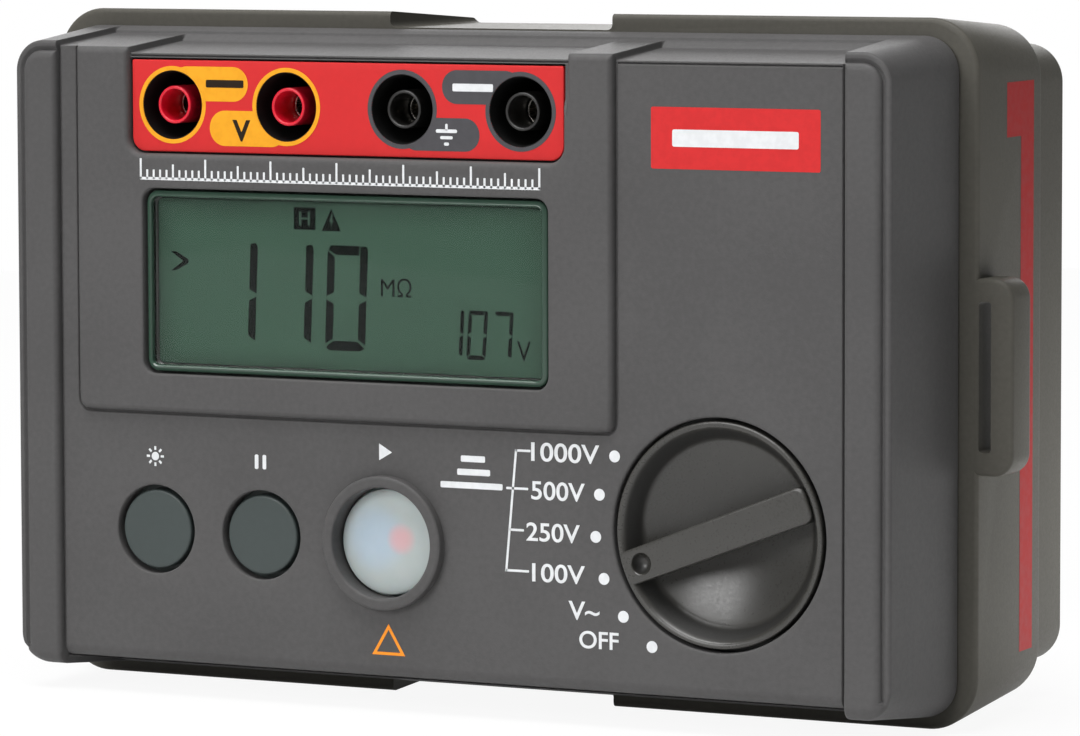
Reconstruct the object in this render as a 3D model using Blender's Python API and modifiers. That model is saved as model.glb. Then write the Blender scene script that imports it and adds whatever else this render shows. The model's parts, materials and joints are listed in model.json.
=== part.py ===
"""Insulation resistance tester: a hand-held mains tester in a two-part moulded case.

Frame: metres, +Z up, the front panel faces -Y, +X is to the right of someone who reads the display.
The origin is at the bottom centre of the object. Depths are counted from the front panel's plane,
PANEL_Y, and grow towards the back. Outlines are lists of (x, z) points in the panel's plane.
"""

from math import cos, pi, radians, sin

import bmesh
import bpy

MM = 0.001
GAP = 0.3 * MM  # clearance between two pieces that touch or run on each other
OVERSHOOT = 3.0 * MM  # how far a cutter reaches past the surface that it opens

# Rear shell: a rim behind the face, a main body and a smaller back body
SHELL_WIDTH = 150.2 * MM
SHELL_HEIGHT = 99.6 * MM
SHELL_CORNER = 7.5 * MM
SHELL_DRAFT = 1.6 * MM  # how much each side of the main body draws in from the rim to its back
SHELL_WALL = 2.4 * MM
SHELL_EDGE = 0.8 * MM  # rounding of the main body's back edge
RIM_DEPTH = 18.5 * MM  # depth of the rim's front face, where the two case halves meet
SHELL_DEPTH = 44.8 * MM
BACK_INSET_X = 4.9 * MM  # how far the back body's sides lie inside the rim's
BACK_INSET_Z = 4.8 * MM
BACK_WIDTH = SHELL_WIDTH - 2 * BACK_INSET_X
BACK_HEIGHT = SHELL_HEIGHT - 2 * BACK_INSET_Z
BACK_CORNER = 5.5 * MM
BACK_DEPTH = 60.5 * MM  # depth of the flat back
BACK_WALL = 3.6 * MM
CENTRE_Z = SHELL_HEIGHT / 2
NOTCH_WIDTH = 36.3 * MM  # gap in the rim, top and bottom
NOTCH_DEPTH = 2.3 * MM

# Strap lugs on the rim
LUG_REACH = 5.3 * MM
LUG_HEIGHT = 27.6 * MM
LUG_DEPTH = 6.9 * MM
LUG_CORNER = 3.0 * MM
LUG_SLOT_WIDTH = 1.9 * MM
LUG_SLOT_HEIGHT = 21.1 * MM

# Front case
FACE_INSET_X = 3.9 * MM  # how far the front edge's sides lie inside the rim's
FACE_INSET_Z = 4.5 * MM
FACE_WIDTH = SHELL_WIDTH - 2 * FACE_INSET_X
FACE_HEIGHT = SHELL_HEIGHT - 2 * FACE_INSET_Z
FACE_CORNER = 4.5 * MM
FACE_EDGE = 1.2 * MM  # rounding of the front edge
FACE_SPREAD_X = 1.2 * MM  # draft of each side from the front edge to the rim
FACE_SPREAD_Z = 2.4 * MM
FACE_DROP = 0.35 * MM  # the face sits this much lower than the shell's centre
FACE_WALL = 2.4 * MM
FACE_CENTRE_Z = CENTRE_Z - FACE_DROP
FACE_BOTTOM = FACE_CENTRE_Z - FACE_HEIGHT / 2
FACE_TOP = FACE_CENTRE_Z + FACE_HEIGHT / 2
RAISED = 1.0 * MM  # the bib and the side columns stand this proud of the panel
COLUMN_MARGIN = 1.9 * MM  # from the front edge's side to the column
COLUMN_WIDTH = 5.8 * MM
COLUMN_OUTER = FACE_WIDTH / 2 - COLUMN_MARGIN
COLUMN_INNER = COLUMN_OUTER - COLUMN_WIDTH
CHANNEL_END = 14.4 * MM  # the panel's level runs this far back over the top and bottom edges
CHANNEL_END_DROP = 0.4 * MM
LIP_LENGTH = 2.0 * MM  # locating lip of the rear shell inside the front case
LIP_WALL = 1.2 * MM

# Sockets
JACK_PITCH = 19.05 * MM
JACK_COUNT = 4
JACK_RISE = 0.15 * MM  # height of the sockets' axes above the red sheet's centre
JACK_WELL_RADIUS = 4.82 * MM
JACK_SHROUD_WALL = 1.0 * MM
JACK_CLEARANCE = 2.3 * MM  # from the wells' ends to the power board
JACK_FLOOR = 2.0 * MM
JACK_SLEEVE_RADIUS = 2.75 * MM
JACK_MOUTH_RADIUS = 2.05 * MM
JACK_BORE_RADIUS = 1.85 * MM
JACK_CONTACT_WALL = 0.3 * MM
JACK_CONTACT_FLOOR = 2.7 * MM
JACK_TAIL_RADIUS = 0.9 * MM
JACK_RECESS = 0.5 * MM
JACK_LIP = 1.8 * MM
JACK_FLANGE_EXTRA = 0.9 * MM
JACK_FLANGE = 1.4 * MM

# Bib: the raised field that holds the sockets, in their red sheet, and the display
RIB_LEFT = 9.2 * MM  # width of the bib beside the red sheet
RIB_RIGHT = 8.0 * MM
BIB_MARGIN = 3.5 * MM  # from the left column to the bib
BIB_FOOT = 5.6 * MM  # from the window down to the bib's lower edge
BIB_CORNER = 1.6 * MM
TITLE_STRIP = 5.3 * MM  # from the red sheet down to the window
INPUT_MARGIN = 2.005 * MM  # from the outer wells to the red sheet's ends
INPUT_HEIGHT = 13.3 * MM
INPUT_DROP = 8.6 * MM  # from the face's top down to the red sheet's centre
INPUT_CORNER = 2.3 * MM
INPUT_SHEET = 0.9 * MM
INPUT_WIDTH = (JACK_COUNT - 1) * JACK_PITCH + 2 * (JACK_WELL_RADIUS + INPUT_MARGIN)
INPUT_Z = FACE_TOP - INPUT_DROP
JACK_Z = INPUT_Z + JACK_RISE
BIB_LEFT = BIB_MARGIN - COLUMN_INNER
INPUT_X = BIB_LEFT + RIB_LEFT + INPUT_WIDTH / 2  # centre line of sockets and display
BIB_RIGHT = INPUT_X + INPUT_WIDTH / 2 + RIB_RIGHT

# Display
WINDOW_INSET = 2.1 * MM  # the window is this much narrower at each side than the red sheet
WINDOW_WIDTH = INPUT_WIDTH - 2 * WINDOW_INSET
WINDOW_HEIGHT = 27.0 * MM
WINDOW_Z = INPUT_Z - INPUT_HEIGHT / 2 - TITLE_STRIP - WINDOW_HEIGHT / 2
BIB_BOTTOM = WINDOW_Z - WINDOW_HEIGHT / 2 - BIB_FOOT
WINDOW_CORNER = 1.9 * MM
WINDOW_RECESS = 0.5 * MM  # the window lies this far behind the bib's surface
WINDOW_THICK = 1.4 * MM
WINDOW_LEDGE = 1.8 * MM
GLASS_THICK = 2.6 * MM
GLASS_INSET_X = 0.8 * MM  # the glass is this much smaller at each side than the window
GLASS_INSET_Z = 0.3 * MM
GLASS_WIDTH = WINDOW_WIDTH - 2 * GLASS_INSET_X
GLASS_HEIGHT = WINDOW_HEIGHT - 2 * GLASS_INSET_Z
LIGHT_THICK = 2.6 * MM
BEZEL_WALL = 1.5 * MM

# Buttons
BUTTON_RISE = 1.425 * MM  # above the middle of the field below the bib
BUTTON_Z = (FACE_BOTTOM + BIB_BOTTOM) / 2 + BUTTON_RISE
LIGHT_INSET = 12.6 * MM  # from the bib's left edge to the light button
HOLD_STEP = 17.8 * MM  # between the light and the hold button
TEST_STEP = 20.6 * MM  # between the hold and the test button
LIGHT_X = BIB_LEFT + LIGHT_INSET
HOLD_X = LIGHT_X + HOLD_STEP
TEST_X = HOLD_X + TEST_STEP
SMALL_CAP_RADIUS = 5.77 * MM
SMALL_CHAMFER = 0.65 * MM
SMALL_RECESS = 0.4 * MM
SMALL_EDGE = 0.35 * MM
SMALL_TRAVEL = 0.8 * MM
TEST_CAP_RADIUS = 7.35 * MM
TEST_BEZEL_RADIUS = 9.65 * MM
TEST_BEZEL_HEIGHT = 1.5 * MM
TEST_BEZEL_WIDTH = 1.5 * MM  # width of the bezel's flat top
TEST_RECESS = 1.0 * MM  # the cap's edge lies this far behind the panel
TEST_DOME = 0.35 * MM
TEST_TRAVEL = 2.0 * MM
BUTTON_FLANGE = 1.0 * MM
BUTTON_FLANGE_EXTRA = 1.3 * MM
STEM_RADIUS = 2.0 * MM
SWITCH_SIDE = 6.2 * MM
SWITCH_BODY = 3.4 * MM

# Range knob
KNOB_INSET = 27.1 * MM  # from the face's right side to the knob's axis
KNOB_RISE = 23.85 * MM  # from the face's bottom to the knob's axis
KNOB_X = FACE_WIDTH / 2 - KNOB_INSET
KNOB_Z = FACE_BOTTOM + KNOB_RISE
KNOB_RADIUS = 16.0 * MM
KNOB_GAP = 0.45 * MM
KNOB_RIM = 1.3 * MM
KNOB_FLOOR = 2.0 * MM  # wall behind the dish
KNOB_HUB_LENGTH = 1.3 * MM
KNOB_FLANGE_EXTRA = 1.2 * MM
KNOB_FLANGE = 1.0 * MM
KNOB_HUB_RADIUS = 3.4 * MM
POINTER_ANGLE = 200.8  # degrees, counter-clockwise from +X, where the pointer rests
POINTER_TIP_HALF = 2.0 * MM
POINTER_TAIL_HALF = 2.5 * MM
POINTER_TAIL_CORNER = 1.3 * MM
DIMPLE_RADIUS = 1.5 * MM
DIMPLE_REACH = 12.9 * MM
ROTOR_RADIUS = 13.0 * MM
ROTOR_THICK = 1.6 * MM
AXLE_RADIUS = 2.2 * MM
AXLE_END = 0.8 * MM  # length of the axle's head behind the clip's groove
CLIP_THICK = 0.6 * MM
CLIP_RADIUS = 4.2 * MM
CLIP_INNER = 1.7 * MM

# Circuit boards and what they carry
BOARD_THICK = 1.6 * MM
MAIN_BOARD_DEPTH = 12.0 * MM
MAIN_BOARD_RISE = 3.45 * MM  # from the face's bottom to the main board
MAIN_BOARD_DROP = 2.08 * MM  # from the sockets' wells down to the main board
MAIN_BOARD_SIDE = 0.4 * MM  # from the main board to the front case's bosses
MAIN_SCREW_INSET_X = 3.2 * MM
MAIN_SCREW_INSET_Z = 2.8 * MM
POWER_BOARD_RISE = 19.85 * MM  # from the face's bottom to the power board
POWER_BOARD_EDGE = 5.7 * MM  # the power board reaches this far above the sockets' axes
POWER_BOARD_SIDE = 1.6 * MM  # from the power board to the rear case's columns
POWER_SCREW_INSET = 5.0 * MM
POWER_SCREW_Z = CENTRE_Z
COMPONENT_ROOM = 14.3 * MM  # between the power board and the battery bay's floor
POST_RADIUS = 2.6 * MM
SMALL_SCREW_RADIUS = 1.1 * MM
SMALL_HEAD_RADIUS = 2.1 * MM
SMALL_HEAD = 1.5 * MM
SMALL_SCREW_LENGTH = 6.0 * MM

LAMP_RADIUS = 1.5 * MM
LAMP_HEIGHT = 4.6 * MM
LAMP_SHIFT = 5.2 * MM  # the lamp stands this far right of the test button's axis
CHIP_SHIFT = 4.6 * MM  # left of the display's centre line
CHIP_DROP = 18.4 * MM  # from the main board's top
CHIP_SIDE = 14.0 * MM
CHIP_THICK = 1.6 * MM
HEADER_WIDTH = 26.0 * MM
HEADER_HEIGHT = 5.0 * MM
HEADER_RISE = 8.0 * MM
COIL_INSET = 30.0 * MM  # from the power board's right edge
COIL_RISE = 4.0 * MM  # above the power board's middle
COIL_WIDTH = 22.0 * MM
COIL_HEIGHT = 17.0 * MM
COIL_DEPTH = 10.0 * MM
COIL_WINDING = 2.5 * MM  # the winding stands out this far above and below the core
COIL_FRAME = 4.0 * MM
RELAY_INSET = 32.0 * MM  # from the power board's left edge
RELAY_RISE = 6.0 * MM  # above the power board's middle
RELAY_WIDTH = 19.0 * MM
RELAY_HEIGHT = 15.5 * MM
RELAY_DEPTH = 10.5 * MM
CAPACITOR_X = 0.0 * MM
CAPACITOR_RADIUS = 5.0 * MM
CAPACITOR_HEIGHT = 11.0 * MM
BUZZER_INSET = 16.0 * MM  # from the power board's left edge
BUZZER_RISE = 10.0 * MM  # above the power board's lower edge
BUZZER_RADIUS = 6.0 * MM
BUZZER_HEIGHT = 7.0 * MM
FUSE_INSET = 36.0 * MM  # from the power board's right edge
FUSE_RISE = 12.0 * MM  # above the power board's lower edge
FUSE_RADIUS = 2.6 * MM
FUSE_LENGTH = 20.0 * MM
FUSE_WALL = 2.7 * MM
FUSE_FLOOR = 1.6 * MM
FUSE_GRIP = 5.0 * MM  # length of each end of the fuse that its holder grips

# Case fixings
BOSS_INSET_X = 9.2 * MM  # from the front case's sides, top and bottom to its screws
BOSS_INSET_Z = 8.5 * MM
BOSS_X = FACE_WIDTH / 2 - BOSS_INSET_X
BOSS_RISE = FACE_HEIGHT / 2 - BOSS_INSET_Z
BOSS_RADIUS = 3.6 * MM
COLUMN_RADIUS = 4.4 * MM
SCREW_RADIUS = 1.5 * MM
SCREW_HEAD_RADIUS = 2.8 * MM
SCREW_HEAD = 2.0 * MM
SCREW_SINK = 22.0 * MM  # depth of the pocket that hides each head
SCREW_GRIP = 9.0 * MM  # thread length in the front case's boss

# Battery bay
CELL_RADIUS = 7.1 * MM
CELL_LENGTH = 50.0 * MM
CELL_NUB_RADIUS = 2.7 * MM
CELL_NUB = 1.2 * MM
CELL_ROWS = 4
CELL_SPACE = 0.5 * MM  # between two rows of cells
CELL_PITCH = 2 * CELL_RADIUS + CELL_SPACE
BAY_END = 4.6 * MM  # room for a contact strip at each end of the bay
BAY_WALL = 2.4 * MM
STRIP_THICK = 0.6 * MM
STRIP_SPRING_RADIUS = 3.0 * MM
COVER_THICK = 1.8 * MM
COVER_LEDGE = 1.4 * MM
COVER_EAR = 6.6 * MM  # the cover reaches this far past the bay on each side, over its screws
COVER_CORNER = 3.0 * MM
COVER_HEAD = 1.0 * MM
COVER_SCREW_LENGTH = 7.0 * MM

PANEL_Y = -(BACK_DEPTH - TEST_BEZEL_HEIGHT) / 2
BAY_WIDTH = 2 * (CELL_LENGTH + CELL_NUB) + 2 * BAY_END
BAY_HEIGHT = CELL_ROWS * CELL_PITCH + 2 * GAP
BAY_DEPTH = 2 * CELL_RADIUS + 3 * GAP
BAY_FLOOR = BACK_DEPTH - COVER_THICK - GAP - BAY_DEPTH
FACE_FLOOR = FACE_WALL  # depth of the front panel's inner side
JACK_SHROUD_RADIUS = JACK_WELL_RADIUS + JACK_SHROUD_WALL
SHEET_SEAT = INPUT_SHEET + GAP
POWER_BOARD_DEPTH = BAY_FLOOR - BAY_WALL - COMPONENT_ROOM - BOARD_THICK
JACK_END = POWER_BOARD_DEPTH - JACK_CLEARANCE
JACK_BOTTOM = JACK_END - JACK_FLOOR
HUB_END = MAIN_BOARD_DEPTH - ROTOR_THICK - 3 * GAP
KNOB_BACK = HUB_END - KNOB_HUB_LENGTH
KNOB_DISH = KNOB_BACK - KNOB_FLOOR
MAIN_BOARD_WIDTH = 2 * (BOSS_X - BOSS_RADIUS - MAIN_BOARD_SIDE)
MAIN_BOARD_BOTTOM = FACE_BOTTOM + MAIN_BOARD_RISE
MAIN_BOARD_TOP = JACK_Z - JACK_SHROUD_RADIUS - MAIN_BOARD_DROP
MAIN_SCREW_X = MAIN_BOARD_WIDTH / 2 - MAIN_SCREW_INSET_X
MAIN_SCREW_HEIGHTS = MAIN_BOARD_BOTTOM + MAIN_SCREW_INSET_Z, MAIN_BOARD_TOP - MAIN_SCREW_INSET_Z
POWER_BOARD_WIDTH = 2 * (BOSS_X - COLUMN_RADIUS - POWER_BOARD_SIDE)
POWER_BOARD_BOTTOM = FACE_BOTTOM + POWER_BOARD_RISE
POWER_BOARD_TOP = JACK_Z + POWER_BOARD_EDGE
POWER_BOARD_MIDDLE = (POWER_BOARD_BOTTOM + POWER_BOARD_TOP) / 2
POWER_SCREW_X = POWER_BOARD_WIDTH / 2 - POWER_SCREW_INSET
CHIP_X = INPUT_X - CHIP_SHIFT
CHIP_Z = MAIN_BOARD_TOP - CHIP_DROP
COIL_X = POWER_BOARD_WIDTH / 2 - COIL_INSET
RELAY_X = RELAY_INSET - POWER_BOARD_WIDTH / 2
BUZZER_X = BUZZER_INSET - POWER_BOARD_WIDTH / 2
FUSE_X = POWER_BOARD_WIDTH / 2 - FUSE_INSET
COIL_Z = POWER_BOARD_MIDDLE + COIL_RISE
RELAY_Z = POWER_BOARD_MIDDLE + RELAY_RISE
BUZZER_Z = POWER_BOARD_BOTTOM + BUZZER_RISE
FUSE_Z = POWER_BOARD_BOTTOM + FUSE_RISE
CASE_SCREWS = [(sx * BOSS_X, CENTRE_Z + sz * BOSS_RISE) for sx in (-1, 1) for sz in (-1, 1)]
MAIN_SCREWS = [(sx * MAIN_SCREW_X, z) for sx in (-1, 1) for z in MAIN_SCREW_HEIGHTS]
POWER_SCREWS = [(sx * POWER_SCREW_X, POWER_SCREW_Z) for sx in (-1, 1)]
COVER_SCREW_X = BAY_WIDTH / 2 + COVER_EAR / 2
JACKS = [INPUT_X + (i - (JACK_COUNT - 1) / 2) * JACK_PITCH for i in range(JACK_COUNT)]

for leftover in list(bpy.data.objects):
    bpy.data.objects.remove(leftover, do_unlink=True)

PARTS = bpy.data.collections.new("insulation_resistance_tester")
CUTTERS = bpy.data.collections.new("cutters")
CUTTERS.hide_render = True
for collection in (PARTS, CUTTERS):
    bpy.context.scene.collection.children.link(collection)


def finish(name, colour, roughness, metallic=0.0):
    """A plain Principled material."""
    material = bpy.data.materials.new(name)
    material.use_nodes = True
    shader = material.node_tree.nodes["Principled BSDF"]
    shader.inputs["Base Color"].default_value = (*colour, 1.0)
    shader.inputs["Roughness"].default_value = roughness
    shader.inputs["Metallic"].default_value = metallic
    return material


def place(name, mesh, look, location=(0, 0, 0), upright=False):
    """Puts a mesh in the scene as a part, or as a cutter where it has no look.

    An upright mesh was drawn flat in its own XY plane: its Y becomes up, its Z faces the front.
    """
    solid = bpy.data.objects.new(name, mesh)
    solid.location = location
    if upright:
        solid.rotation_euler = (pi / 2, 0, 0)
    if look is None:
        CUTTERS.objects.link(solid)
        solid.hide_render = True
        solid.display_type = "WIRE"
    else:
        PARTS.objects.link(solid)
        mesh.materials.append(look)
    return solid


def rectangle(x0, x1, z0, z1, radius=0.0, arc=4):
    """A rectangle's outline, with round corners of arc steps each where a radius is given."""
    if radius == 0:
        return [(x0, z0), (x1, z0), (x1, z1), (x0, z1)]
    corners = [(x1 - radius, z1 - radius, 0), (x0 + radius, z1 - radius, 90)]
    corners += [(x0 + radius, z0 + radius, 180), (x1 - radius, z0 + radius, 270)]
    points = []
    for x, z, start in corners:
        for step in range(arc + 1):
            angle = radians(start + 90 * step / arc)
            points.append((x + radius * cos(angle), z + radius * sin(angle)))
    return points


def centred(x, z, width, height, radius=0.0, arc=4):
    """A rectangle's outline about a centre."""
    return rectangle(x - width / 2, x + width / 2, z - height / 2, z + height / 2, radius, arc)


def circle(x, z, radius, steps=24):
    """A circle's outline."""
    angles = [2 * pi * step / steps for step in range(steps)]
    return [(x + radius * cos(a), z + radius * sin(a)) for a in angles]


def plate(name, outline, front, back, look=None, holes=(), about=(0.0, 0.0)):
    """A flat piece parallel to the panel, between two depths, with holes through it.

    It is a filled 2D curve, made a mesh, with its origin over the point about.
    """
    curve = bpy.data.curves.new(name, "CURVE")
    curve.dimensions = "2D"
    curve.fill_mode = "BOTH"
    curve.extrude = (back - front) / 2
    for loop in (outline, *holes):
        spline = curve.splines.new("POLY")
        spline.points.add(len(loop) - 1)
        for point, (x, z) in zip(spline.points, loop):
            point.co = (x - about[0], z - about[1], 0, 1)
        spline.use_cyclic_u = True
    drawing = bpy.data.objects.new(name + "_drawing", curve)
    CUTTERS.objects.link(drawing)
    evaluated = drawing.evaluated_get(bpy.context.evaluated_depsgraph_get())
    mesh = bpy.data.meshes.new_from_object(evaluated)
    bpy.data.objects.remove(drawing)
    welded = bmesh.new()
    welded.from_mesh(mesh)
    bmesh.ops.remove_doubles(welded, verts=welded.verts, dist=1e-7)
    welded.to_mesh(mesh)
    welded.free()
    mesh.materials.clear()
    return place(name, mesh, look, (about[0], PANEL_Y + (front + back) / 2, about[1]), True)


def block(name, x0, x1, z0, z1, front, back, look=None):
    """A box between two depths."""
    cube = bmesh.new()
    bmesh.ops.create_cube(cube, size=1)
    bmesh.ops.scale(cube, vec=(x1 - x0, back - front, z1 - z0), verts=cube.verts)
    mesh = bpy.data.meshes.new(name)
    cube.to_mesh(mesh)
    cube.free()
    centre = ((x0 + x1) / 2, PANEL_Y + (front + back) / 2, (z0 + z1) / 2)
    return place(name, mesh, look, centre)


def turned(solid, steps):
    """Turns a profile about its own Z axis."""
    modifier = solid.modifiers.new("Turn", "SCREW")
    modifier.steps = steps
    modifier.render_steps = steps
    modifier.use_merge_vertices = True
    modifier.merge_threshold = 1e-6
    return solid


def turning(name, profile, x, z, look=None, steps=24, closed=False):
    """A piece turned about an axis through (x, z), square to the panel.

    The profile holds (radius, depth) points. It runs down the outer side from front to back, and
    a closed one returns along its inner side.
    """
    mesh = bpy.data.meshes.new(name)
    edges = [(i, i + 1) for i in range(len(profile) - 1)]
    if closed:
        edges.append((len(profile) - 1, 0))
    mesh.from_pydata([(radius, 0, -depth) for radius, depth in profile], edges, [])
    return turned(place(name, mesh, look, (x, PANEL_Y, z), True), steps)


def rod(name, radius, front, back, x, z, look=None, steps=24):
    """A plain cylinder between two depths."""
    return turning(name, [(0, front), (radius, front), (radius, back), (0, back)], x, z, look, steps)


def pipe(name, outer, inner, front, back, x, z, look=None, steps=24):
    """A plain tube between two depths."""
    profile = [(outer, front), (outer, back), (inner, back), (inner, front)]
    return turning(name, profile, x, z, look, steps, closed=True)


def drafted(name, sections, look=None, arc=5):
    """A block lofted through rounded rectangles about the centre line: (depth, half width, half
    height, corner radius, centre height), front to back.
    """
    shell = bmesh.new()
    rings = []
    for depth, half_width, half_height, radius, height in sections:
        loop = centred(0, height, 2 * half_width, 2 * half_height, radius, arc)
        rings.append([shell.verts.new((x, PANEL_Y + depth, z)) for x, z in loop])
    for near, far in zip(rings, rings[1:]):
        for i in range(len(near)):
            shell.faces.new((near[i - 1], near[i], far[i], far[i - 1]))
    shell.faces.new(rings[0])
    shell.faces.new(rings[-1])
    bmesh.ops.recalc_face_normals(shell, faces=shell.faces)
    mesh = bpy.data.meshes.new(name)
    shell.to_mesh(mesh)
    shell.free()
    return place(name, mesh, look)


def wedge(name, profile, x0, x1):
    """A cutter drawn in side view as (depth, z) points and run from x0 to x1."""
    solid = bmesh.new()
    verts = [solid.verts.new((x0, PANEL_Y + depth, z)) for depth, z in profile]
    end = solid.faces.new(verts)
    run = bmesh.ops.extrude_face_region(solid, geom=[end])
    moved = [item for item in run["geom"] if isinstance(item, bmesh.types.BMVert)]
    bmesh.ops.translate(solid, vec=(x1 - x0, 0, 0), verts=moved)
    bmesh.ops.recalc_face_normals(solid, faces=solid.faces)
    mesh = bpy.data.meshes.new(name)
    solid.to_mesh(mesh)
    solid.free()
    return place(name, mesh, None)


def combine(solid, tools, operation="DIFFERENCE", solver="EXACT"):
    """Cuts the tools from a solid, or joins them to it, in order."""
    for tool in tools:
        modifier = solid.modifiers.new(tool.name, "BOOLEAN")
        modifier.operation = operation
        modifier.solver = solver
        modifier.object = tool
    return solid


def smooth(solid, angle=35):
    """Shades a solid smooth, with its corners kept sharp."""
    solid.data.shade_smooth()
    for modifier in solid.modifiers:
        if modifier.type == "SCREW":
            modifier.use_smooth_shade = True
    if solid.data.polygons:
        solid.data.set_sharp_from_angle(angle=radians(angle))
    return solid


CASE_GREY = finish("case_grey", (0.10, 0.10, 0.10), 0.55)
SHELL_GREY = finish("shell_grey", (0.085, 0.085, 0.08), 0.6)
KNOB_GREY = finish("knob_grey", (0.09, 0.09, 0.085), 0.42)
INPUT_RED = finish("input_red", (0.64, 0.045, 0.045), 0.45)
SOCKET_RED = finish("socket_red", (0.58, 0.01, 0.025), 0.35)
SOCKET_BLACK = finish("socket_black", (0.02, 0.02, 0.02), 0.4)
WINDOW_CLEAR = finish("window_clear", (0.30, 0.34, 0.32), 0.08)
GLASS_GREEN = finish("glass_green", (0.05, 0.10, 0.075), 0.2)
LIGHT_WHITE = finish("light_white", (0.85, 0.86, 0.84), 0.4)
CAP_SLATE = finish("cap_slate", (0.07, 0.085, 0.085), 0.6)
LAMP_CLEAR = finish("lamp_clear", (0.75, 0.35, 0.32), 0.15)
CAP_MILK = finish("cap_milk", (0.46, 0.51, 0.52), 0.35)
BOARD_GREEN = finish("board_green", (0.02, 0.16, 0.07), 0.5)
PART_BLACK = finish("part_black", (0.03, 0.03, 0.03), 0.5)
PART_BLUE = finish("part_blue", (0.03, 0.09, 0.30), 0.4)
NICKEL = finish("nickel", (0.62, 0.61, 0.58), 0.3, 1.0)
BRASS = finish("brass", (0.70, 0.50, 0.22), 0.3, 1.0)
STEEL = finish("steel", (0.45, 0.45, 0.45), 0.35, 1.0)
CELL_SLEEVE = finish("cell_sleeve", (0.10, 0.12, 0.16), 0.4)


def half_sizes(depth):
    """The rear shell's half width and half height at a depth behind its rim."""
    inset = SHELL_DRAFT * (depth - RIM_DEPTH) / (SHELL_DEPTH - RIM_DEPTH)
    return SHELL_WIDTH / 2 - inset, SHELL_HEIGHT / 2 - inset


def face_opening(depth):
    """The front case's inner half width and half height at a depth."""
    share = depth / RIM_DEPTH
    half_width = FACE_WIDTH / 2 + share * FACE_SPREAD_X - FACE_WALL
    half_height = FACE_HEIGHT / 2 + share * FACE_SPREAD_Z - FACE_WALL
    return half_width, half_height


def face_blank():
    """The front case's outside at the height of its raised parts, and the room inside it."""
    half_width, half_height = FACE_WIDTH / 2, FACE_HEIGHT / 2
    corner, z = FACE_CORNER, FACE_CENTRE_Z
    sections = []
    for turn in (0, 45, 90):
        inset = FACE_EDGE * (1 - sin(radians(turn)))
        depth = FACE_EDGE * (1 - cos(radians(turn))) - RAISED
        sections.append((depth, half_width - inset, half_height - inset, corner - inset, z))
    back = RIM_DEPTH - GAP
    rear_corner = SHELL_CORNER - GAP
    sections.append((back, half_width + FACE_SPREAD_X, half_height + FACE_SPREAD_Z, rear_corner, z))
    blank = drafted("front_case", sections, CASE_GREY)
    front, rear = face_opening(FACE_FLOOR), face_opening(RIM_DEPTH)
    room = [(FACE_FLOOR, *front, corner - FACE_EDGE, z)]
    room.append((RIM_DEPTH + OVERSHOOT, *rear, rear_corner - FACE_WALL, z))
    return blank, drafted("face_room", room)


def level_cutters():
    """Takes the panel's level down from the raised bib, ribs and columns, on the face and round
    its top and bottom edges.
    """
    low, high = -OVERSHOOT, 2 * CENTRE_Z
    panel = [(-COLUMN_INNER, low), (COLUMN_INNER, low), (COLUMN_INNER, high), (BIB_RIGHT, high)]
    for x, start, side in ((BIB_RIGHT, 0, -1), (BIB_LEFT, -90, 1)):
        for step in range(5):
            angle = radians(start - 90 * step / 4)
            centre = (x + side * BIB_CORNER, BIB_BOTTOM + BIB_CORNER)
            panel.append((centre[0] + BIB_CORNER * cos(angle), centre[1] + BIB_CORNER * sin(angle)))
    panel += [(BIB_LEFT, high), (-COLUMN_INNER, high)]
    cutters = [plate("panel_level", panel, -RAISED - OVERSHOOT, 0)]
    for side in (-1, 1):
        ends = sorted((side * COLUMN_OUTER, side * (FACE_WIDTH / 2 + OVERSHOOT)))
        cutters.append(block(f"edge_step_{side}", *ends, low, high, -RAISED - OVERSHOOT, 0))
    rib = (FACE_HEIGHT / 2, FACE_HEIGHT / 2 + CHANNEL_END / RIM_DEPTH * FACE_SPREAD_Z)
    for side in (-1, 1):
        reach = [(0, rib[0] - RAISED), (CHANNEL_END, rib[1] - CHANNEL_END_DROP)]
        slope = (reach[1][1] - reach[0][1]) / CHANNEL_END
        start = (-OVERSHOOT, reach[0][1] - slope * OVERSHOOT)
        outer = FACE_HEIGHT / 2 + 3 * OVERSHOOT
        side_view = [start, reach[1], (CHANNEL_END, outer), (-OVERSHOOT, outer)]
        side_view = [(depth, FACE_CENTRE_Z + side * z) for depth, z in side_view]
        inner = INPUT_WIDTH / 2 + GAP
        spans = [(-COLUMN_INNER, BIB_LEFT), (INPUT_X - inner, INPUT_X + inner), (BIB_RIGHT, COLUMN_INNER)]
        if side < 0:
            spans = [(-COLUMN_INNER, COLUMN_INNER)]
        for number, (x0, x1) in enumerate(spans):
            cutters.append(wedge(f"channel_{side}_{number}", side_view, x0, x1))
    return cutters


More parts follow.
